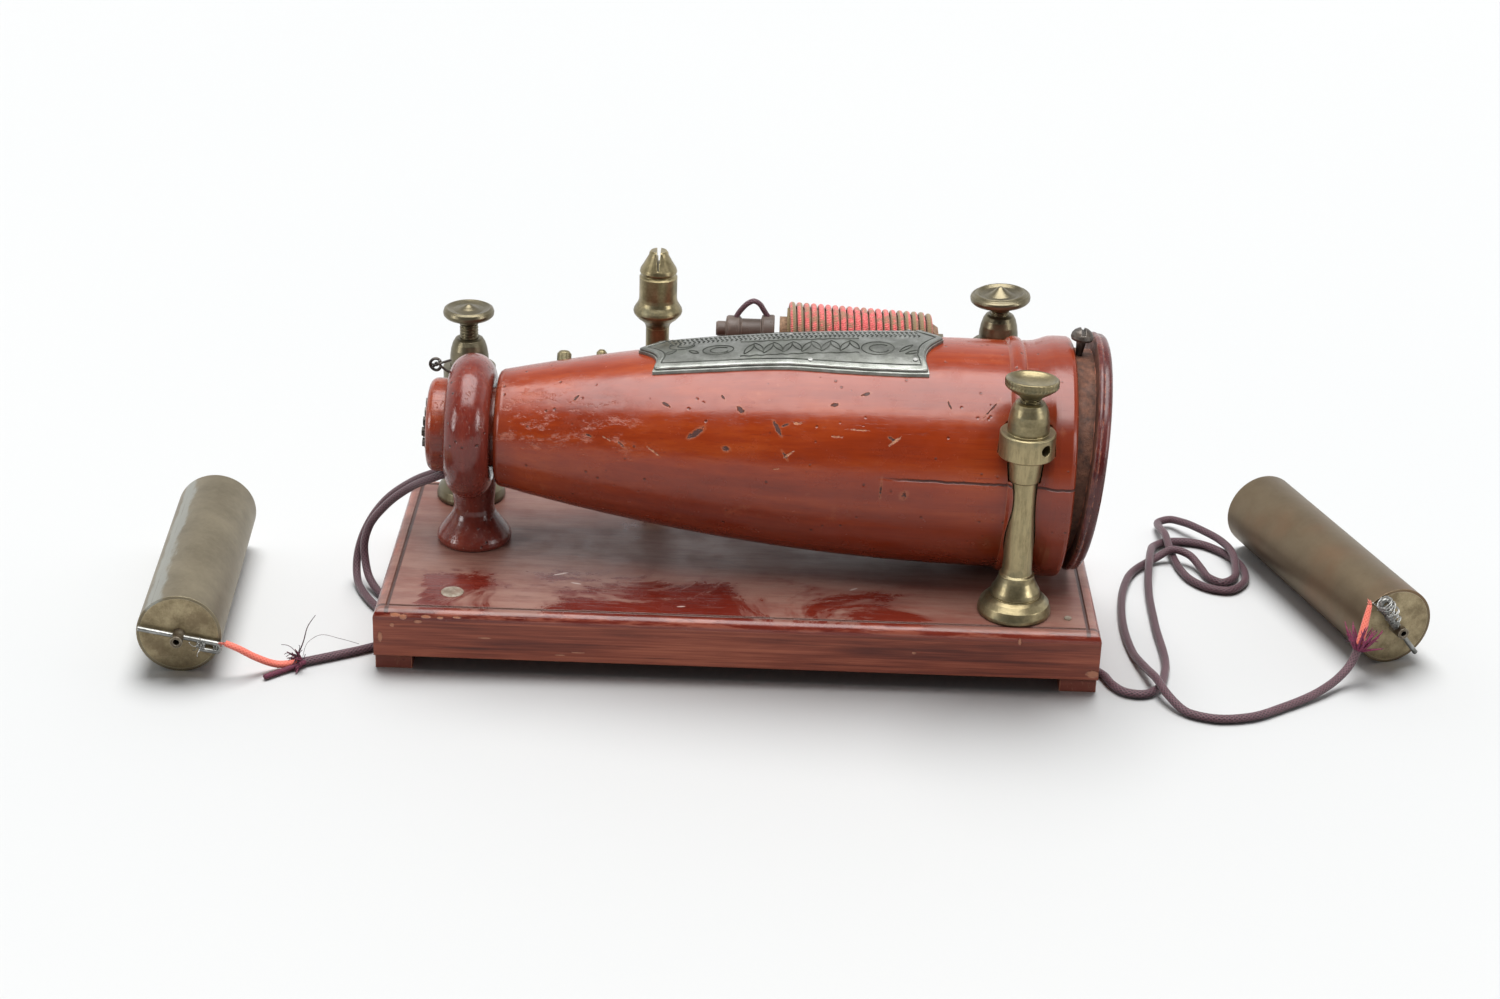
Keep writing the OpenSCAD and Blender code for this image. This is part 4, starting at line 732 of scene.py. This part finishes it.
# Three single threads of the left frayed end
THICK_HAIR = [(-154, -56, 3), (-151.6, -54.5, 9), (-150, -53, 14.5), (-147.4, -52, 18.4)]
THIN_HAIR = [(-152, -56, 3), (-150, -55, 9), (-146, -54, 11.6), (-139, -53, 10), (-132.5, -52, 7.6)]
LOOSE_STRAND = [(-151, -56, 1.9), (-156, -60, 1.3), (-161, -64.4, 1.2), (-163.4, -66.6, 1.2)]


def thinning(share):
    """Taper of a tube that loses this share of its radius towards its end."""
    return lambda t: 1.0 - share * t * t


def make_cord(side, route, core_route, fray, seed, core_r, slim, petal, petal_count, hair_count):
    """Braid, bare core and frayed end; the core thins by slim, the loose braid is petal mm long."""
    line = [Vector((q.x, q.y, max(q.z, CORD_R * MM))) for q in smooth_line(route, 6)]
    braid = Shape().tube(line, CORD_R, 16).make(
        "braided_cord_" + side, "cord_braid", replaces=["cord_" + side])
    core_line = smooth_line(core_route, 8)
    tip, tip_heading = core_line[-1] / MM, core_line[-1] - core_line[-3]
    rng = random.Random(seed)
    core = Shape().tube(core_line, core_r, 16, thinning(slim))
    for _ in range(7):
        start = tip + Vector((rng.uniform(-0.6, 0.6), rng.uniform(-0.6, 0.6), rng.uniform(-0.6, 0.2)))
        core.tube(curl(start, tip_heading, rng.uniform(1.5, 3), 1.4, rng, 5), 0.12, 4)
    core = core.make("cord_core_" + side, "core_thread", replaces=["cord_%s_core" % side])
    end, ahead = Vector(route[-1]), (Vector(core_route[1]) - Vector(route[-2])).normalized()
    across = ahead.orthogonal().normalized()
    lift = ahead.cross(across)
    petals, hairs = Shape(), Shape()
    for k in range(petal_count):
        out = around(TAU * k / petal_count + rng.uniform(-0.2, 0.2), across, lift)
        base = end - 1.8 * ahead + 1.15 * out
        heading = ahead * rng.uniform(0.5, 1.2) + out * rng.uniform(0.4, 1.3)
        path = curl(base, heading, rng.uniform(0.6, 1.0) * petal, rng.uniform(0.3, 1.5), rng, 9)
        petals.tube(path, 0.5, 6, thinning(0.75))
    for k in range(hair_count):
        out = around(rng.uniform(0, TAU), across, lift) + 0.7 * UP
        base, heading = end - 0.8 * ahead + 0.9 * out, ahead * 0.3 + out
        hairs.tube(curl(base, heading, rng.uniform(4, 9), rng.uniform(2, 5), rng, 14, 0.2), 0.13, 4)
    if side == "left":
        hairs.tube(smooth_line(THICK_HAIR, 6), 0.28, 5, lambda t: 1.0 - 0.6 * t)
        hairs.tube(smooth_line(THIN_HAIR, 8), 0.09, 4)
        petals.tube(smooth_line(LOOSE_STRAND, 5), 0.95, 8)
    petals = petals.make("frayed_braid_" + side, "cord_braid", fray)
    hairs = hairs.make("loose_threads_" + side, "cord_braid", "fray_dark")


make_cord("left", LEFT_ROUTE, LEFT_CORE, "fray_wine", seed=4, core_r=1.3, slim=0.15,
          petal=6.0, petal_count=20, hair_count=16)
make_cord("right", RIGHT_ROUTE, RIGHT_CORE, "fray_purple", seed=9, core_r=1.45, slim=0.42,
          petal=11.5, petal_count=26, hair_count=8)


# The magnet's outer winding and the hammer's cord
TURNS, PITCH, FIRST_X = 19.75, 2.64, 15.4
FIRST_R, LAST_R, SINK = 9.7, 7.3, 0.7  # radius of its first and last turn; it sinks by SINK at the end
LEAD_Y = 48  # where the first end comes up from the board
TAIL_R, TAIL_SHIFT = 6.4, 0.9  # bend of the last end on its way down


def winding_line():
    """Middle line of the outer winding with both its ends, from the board and back to it."""
    base, axle, height, end = BOARD_TOP / MM, MAGNET_Y / MM, MAGNET_Z / MM, TAU * TURNS

    def spot(a):
        r = FIRST_R + (LAST_R - FIRST_R) * a / end - SINK * max(0.0, (a - end + TAU) / TAU)
        return Vector((FIRST_X + PITCH * a / TAU, axle + r * math.cos(a), height + r * math.sin(a)))

    lead = [Vector((FIRST_X, LEAD_Y, base)), Vector((FIRST_X, LEAD_Y, base + 2.5))]
    for i in range(13):
        t = i / 12
        y = LEAD_Y + (axle + FIRST_R - LEAD_Y) * t * t * (3 - 2 * t)
        lead.append(Vector((FIRST_X, y, base + 8 + 36 * t)))
    lead += [Vector((FIRST_X, axle + FIRST_R, height - drop)) for drop in (16, 6, 2)]
    coil = [spot(TAU * i / 60) for i in range(int(60 * TURNS) + 1)]
    last = coil[-1]
    bend = []
    for i in range(1, 13):
        a = math.radians(7.5 * i)
        bend.append(last + Vector((TAIL_SHIFT * i / 12, TAIL_R * math.sin(a), -TAIL_R * (1 - math.cos(a)))))
    foot = [Vector((last.x + TAIL_SHIFT, axle + TAIL_R, base + h)) for h in (30, 2.5, 0)]
    return [p * MM for p in lead + coil + bend + foot]


Shape().tube(winding_line(), 1.1, 12).make(
    "covered_winding", "red_winding", "winding_cotton", replaces=["magnet_winding"])

LOOP = [
    (-4.6, 4.7), (-4, 5.9), (-2.4, 8.2), (-0.3, 10.3), (1.7, 11.2), (3.7, 10.3), (5.4, 7.9), (6.6, 6),
    (7.2, 5.2)]
HAMMER_Y, HAMMER_Z = 42, 94.1
Shape().tube(smooth_line([(x, HAMMER_Y, HAMMER_Z + h) for x, h in LOOP], 6), 1.0, 14).make(
    "hammer_cord", "cord_braid", body="armature", replaces=["pull_loop"])


# The plate: rim, borders and scrolls, in mm along the barrel (s) and across it (v)
TILT = math.radians(1.05)
AXIS = Vector((math.cos(TILT), 0, -math.sin(TILT)))
CROWN = Vector((math.sin(TILT), 0, math.cos(TILT)))
FIELD_RISE = 2.02  # the plate's field over the barrel


def belly(s):
    """Radius of the barrel."""
    return 40.7 - 6.66e-4 * (85 - s) ** 2


PLATE_MID = 2.2
PLATE_HALF = [  # s and half the plate's width
    (-33.4, 15.1), (-24, 15.7), (-11, 16.4), (2.5, 16.7), (14, 17.3), (28.5, 19.2), (41, 20.5),
    (54.5, 21.2), (62.9, 21.2)]
PLATE_SCOOP = [  # from a corner to the middle of an end: 0 to 1, and how far it stands out
    (0, 5.6), (0.1, 4.1), (0.2, 2.5), (0.3, 1.1), (0.42, -0.2), (0.58, -1.1), (0.74, -1.1), (0.9, -0.3),
    (1, 0)]
PLATE_ENDS = (PLATE_HALF[0][0], PLATE_HALF[-1][0])
SIDE_STEPS, END_STEPS = 48, 32


def between(table, x):
    """Value at x of a table of (x, value)."""
    for (x0, y0), (x1, y1) in zip(table, table[1:]):
        if x <= x1:
            return y0 + (y1 - y0) * (max(x, x0) - x0) / (x1 - x0)
    return table[-1][1]


def on_plate(s, v, lift):
    """Point over the plate, in metres; lift is over its field."""
    r = belly(s) + FIELD_RISE
    return BARREL_MIDDLE + (s * AXIS + (r + lift) * around(math.asin(v / r), CROWN, BACK)) * MM


def plate_ring(inset):
    """The plate's outline, drawn in by inset mm."""
    ring = []
    for side, ends in ((-1, (0, 1)), (1, (1, 0))):
        a, b = (PLATE_ENDS[k] + (inset if k == 0 else -inset) for k in ends)
        for i in range(SIDE_STEPS):
            s = a + (b - a) * i / SIDE_STEPS
            ring.append((s, PLATE_MID + side * (between(PLATE_HALF, s) - inset)))
        k = ends[1]
        half = between(PLATE_HALF, PLATE_ENDS[k]) - inset
        for i in range(END_STEPS):
            across = 1 - 2 * i / END_STEPS
            out = between(PLATE_SCOOP, abs(across)) - inset
            ring.append((PLATE_ENDS[k] + (2 * k - 1) * out, PLATE_MID + side * across * half))
    return ring + ring[:1]


def leaf(s, v, length, width, lean):
    """Closed outline of a leaf from its stalk at (s, v)."""
    edge = [(t, width * math.sin(math.pi * t) ** 0.8) for t in (i / 12 for i in range(13))]
    c, q = math.cos(lean), math.sin(lean)
    loop = edge + [(t, -w) for t, w in reversed(edge)]
    return [(s + length * t * c - w * q, v + length * t * q + w * c) for t, w in loop]


def oval(s, v, length, width, start=0, sweep=360):
    """Part of an ellipse, in degrees."""
    angles = (math.radians(start + sweep * i / 30) for i in range(31))
    return [(s + length * math.cos(a), v + width * math.sin(a)) for a in angles]


OVALS = [(-10.8, -4.8, 5.4, 3.1), (45, -7, 5.7, 4.2)]  # s, v, half length, half width
LEAVES = [(52.5, -9.4, 6.6, 0.75), (54.6, -10.6, 6.2, 0.35), (-17.6, -6.2, 4, 2.6), (-29.5, -5.4, 4.5, 0.5)]


def engraving():
    """Lines of (s, v): a border, two rows of strokes, ovals, leaves and a banner of leaves."""
    lines = [plate_ring(2.9)]
    for row, top in enumerate((8.6, 4.6)):
        for i in range(54):
            s = -29 + 1.65 * i + 0.8 * row
            lines.append([(s, top), (s + 0.9, top - 1.2), (s + 0.3, top - 2.6)])
    for s, v, length, width in OVALS:
        lines.append(oval(s, v, length, width))
        lines.append(oval(s + 0.6, v - 0.3, 0.62 * length, 0.6 * width, 40, 290))
    lines.append(oval(-23.7, 0, 4.4, 2.6, 120, 260))
    lines.append(oval(-22.6, 0.2, 2.6, 1.3, 120, 260))
    for s, v, length, lean in LEAVES:
        lines.append(leaf(s, v, length, 0.75, lean))
    for v in (0.2, -9.8):
        lines.append([(-3 + 41.5 * i / 60, v + 0.2 * math.sin(i)) for i in range(61)])
    for i in range(12):
        lines.append(leaf(-1.6 + 3.35 * i, -1.4 if i % 2 else -8.6, 7.2, 1.1, -1.1 if i % 2 else 1.1))
    return lines


def draw_plate():
    field = plate_ring(0.95)
    front = field[:SIDE_STEPS + 1]
    rim = Shape().tube([on_plate(s, v, -0.42) for s, v in field], 0.6, 12)
    rim.make("plate_rim", "pewter_plate")
    # Painted highlight: a lighter pewter tube over the rim along the front edge, where the rounded edge
    # catches the light.
    bead = Shape().tube([on_plate(s, v - 0.1, -0.4) for s, v in front], 0.54, 12)
    bead.make("plate_front_highlight", "pewter_plate", "bright_pewter")
    cut = Shape()
    for line in engraving():
        cut.tube([on_plate(s, v, -0.06) for s, v in line], 0.27, 5)
    cut.make("plate_engraving", "pewter_plate", "engraved_line")


draw_plate()


# Milled knob of the front right terminal: radius and height of its outline
KNURLED = [
    (0, -0.6), (3.7, -0.6), (3.9, -0.2), (5, 0.7), (7, 1.9), (8.6, 3.1), (9.1, 3.7), (9.3, 4), (9.3, 4.5),
    (9.05, 4.65), (9.05, 4.85), (9.3, 5), (9.3, 5.9), (9.1, 6.25), (8.7, 6.5), (8.2, 6.2), (7, 5.3),
    (5, 4.6), (2, 4.35), (0, 4.3)]
MILLED_R, NOTCH = 9.2, -0.55


def milling(radius, k):
    """A notch at every third step round the rim."""
    return 0.0 if radius < MILLED_R or k % 3 else NOTCH


knob_tilt = Matrix.Rotation(math.radians(1), 4, "Y") @ Matrix.Rotation(math.radians(-4.5), 4, "X")
knob_place = Matrix.Translation((0.0972, -0.0385, BOARD_TOP + 0.0823)) @ knob_tilt
Shape().lathe(KNURLED, knob_place, 120, milling).make(
    "milled_knob", "terminal_brass", body="front_right_knob", replaces=["terminal_front_right_knob"])


# Wire hook: an eye, its twisted shank and two ends
def twist(start, direction, length, radius, turns, phase, steps):
    ahead = Vector(direction).normalized()
    across = ahead.orthogonal().normalized()
    side = ahead.cross(across)
    line = []
    for i in range(steps + 1):
        t = i / steps
        out = around(TAU * turns * t + phase, across, side)
        line.append((start + ahead * length * t + radius * out) * MM)
    return line


hook = Shape()
hook_eye = Vector((-110.9, 4, 91.5))
hook.tube([(hook_eye + Vector((1.9 * math.cos(a), 0.3 * math.sin(2 * a), 2.2 * math.sin(a)))) * MM
           for a in (math.radians(20 + 8 * i) for i in range(41))], 0.55)
for phase in (0.0, math.pi):
    hook.tube(twist(hook_eye + Vector((-1.2, 0, -0.6)), (1, 0, 0.5), 3.6, 0.45, 1.2, phase, 24), 0.42)
for rise in (1.9, -3.2):
    ends = [hook_eye + Vector(step) for step in ((1.2, 0, 0.2), (3, 0, 0.5 * rise), (5.6, 0, rise))]
    hook.tube(smooth_line(ends, 6), 0.45)
hook.make("twisted_hook", "dark_iron", replaces=["wire_hook"])


# Thin wires wound round the handles' pins
def binding(name, handle, pin_angle, height, spans, seed, tails):
    """Spans: (from, to, y, radius, turns) along the pin. Tails: (x, y, z, heading's x, y and z, length)."""
    rng = random.Random(seed)
    upright = Matrix.Rotation(math.radians(pin_angle), 4, "Z")
    place = handle @ Matrix.Translation((0, 0, height * MM)) @ upright
    wire = Shape()
    for start, end, y, radius, turns in spans:
        line, count = [], int(turns * 14)
        for i in range(count + 1):
            t = i / count
            a = TAU * turns * t
            r = radius * (1 + 0.12 * math.sin(2.7 * a) + rng.uniform(-0.03, 0.03))
            way = 0.5 - 0.5 * math.cos(math.pi * 3 * t) if turns > 8 else t  # long spans are wound thrice
            point = Vector((start + (end - start) * way, y + r * math.cos(a), r * math.sin(a)))
            line.append(place @ (point * MM))
        wire.tube(line, 0.17, 6)
    for x, y, z, dx, dy, dz, length in tails:
        start, heading = place @ (Vector((x, y, z)) * MM) / MM, place.to_3x3() @ Vector((dx, dy, dz))
        wire.tube(curl(start, heading, length, 2.2, rng, 10), 0.14, 5)
    wire.make(name, "steel_wire")


binding("left_binding", LEFT_HANDLE, -12.1, 1.75,
        [(6.8, 9.8, -1.6, 1.35, 5), (12.6, 15.4, -1.6, 1.0, 3)], 3,
        [(8, -1.5, 1.2, 0.2, 1, 0.4, 5), (8.4, -1.8, 1.2, -0.3, -1, 0.3, 5), (9, -1.6, 1.2, 0.4, 1, 0.6, 4),
         (7.4, -1.4, 1.2, -0.7, -0.8, 0.4, 4), (7.2, -1.4, 1.0, 0.1, -1, 0.2, 6),
         (14.8, -1.6, 0.5, 1, 0, 0.3, 2)])
binding("right_binding", RIGHT_HANDLE, 129, 3,
        [(4.2, 12.8, -0.9, 2.2, 17), (8.0, 14.2, -1.6, 2.7, 9), (-2.8, -1.2, 0, 1.25, 4),
         (1.6, 4.2, 0, 1.3, 5)], 5,
        [(12, -1.6, 2, 1, 0.4, 0.2, 5), (13, -1, 1, 0.6, 1, 0.4, 6), (10, -1.5, 2, -0.2, 1, 0.7, 5),
         (-2.4, 0, 1.2, -1, 0.5, 0.4, 4)])


# Floor, light and air
FLOOR_REACH = 8.0


def make_floor():
    s = Shade("floor_paper")
    color = s.ramp(s.noise(s.place, 1.2, 2), [(0.3, (0.775, 0.785, 0.785)), (0.7, (0.79, 0.795, 0.79))])
    mesh = bpy.data.meshes.new("floor")
    corners = [(x * FLOOR_REACH, y * FLOOR_REACH, 0) for x, y in ((-1, -1), (1, -1), (1, 1), (-1, 1))]
    mesh.from_pydata(corners, [], [(0, 1, 2, 3)])
    mesh.materials.append(s.finish(color, 0.8, Specular_IOR_Level=0.2))
    floor = add_object("floor", mesh)
    return floor


FLOOR = make_floor()


def place_lamp(name, lamp, state):
    """Lamp that lights the floor only (INCLUDE), or all but the floor (EXCLUDE)."""
    thing = add_object(name, lamp)
    group = bpy.data.collections.new(name + "_receivers")
    group.objects.link(FLOOR)
    group.collection_objects[0].light_linking.link_state = state
    thing.light_linking.receiver_collection = group
    return thing


def make_area(name, at, target, size, radiance):
    lamp = bpy.data.lights.new(name, "AREA")
    lamp.shape = "RECTANGLE"
    lamp.size, lamp.size_y = size
    lamp.energy = radiance * math.pi * size[0] * size[1]
    thing = place_lamp(name, lamp, "EXCLUDE")
    thing.location = at
    thing.rotation_euler = (Vector(target) - Vector(at)).to_track_quat("-Z", "Y").to_euler()


def make_sky(name, elevation, spread, irradiance):
    """Soft parallel light on the floor, from above and behind the object."""
    lamp = bpy.data.lights.new(name, "SUN")
    lamp.energy, lamp.angle = irradiance, math.radians(spread)
    thing = place_lamp(name, lamp, "INCLUDE")
    thing.rotation_euler = (math.radians(elevation - 90), 0, 0)


def make_world():
    """A dark studio with a pale wall behind the object."""
    world = bpy.data.worlds.new("studio")
    world.use_nodes = True
    bpy.context.scene.world = world
    g = Graph(world.node_tree)
    parts = g.add("ShaderNodeSeparateXYZ", {0: g.add("ShaderNodeTexCoord").outputs["Generated"]}).outputs
    behind = g.ease(parts[1], -0.25, 0.3, 0.08, 1.15)
    low = g.ease(parts[2], 0.35, 0.75, 1.0, 0.4)
    background = g.tree.nodes["Background"]
    g.feed(background.inputs["Strength"], g.times(behind, low))
    g.feed(background.inputs["Color"], (0.98, 0.99, 1.0, 1))


make_world()
make_area("overhead", at=(0, -0.165, 1.2), target=(0, -0.165, 0), size=(1.24, 1.19), radiance=6.4)
for name, x in (("left_window", -1.1), ("right_window", 1.1)):
    make_area(name, at=(x, -0.5, 0.45), target=(0, 0, 0.08), size=(0.34, 0.5), radiance=9.0)
make_sky("floor_light", elevation=64, spread=40, irradiance=3.12)
bpy.context.scene.view_settings.view_transform = "Standard"
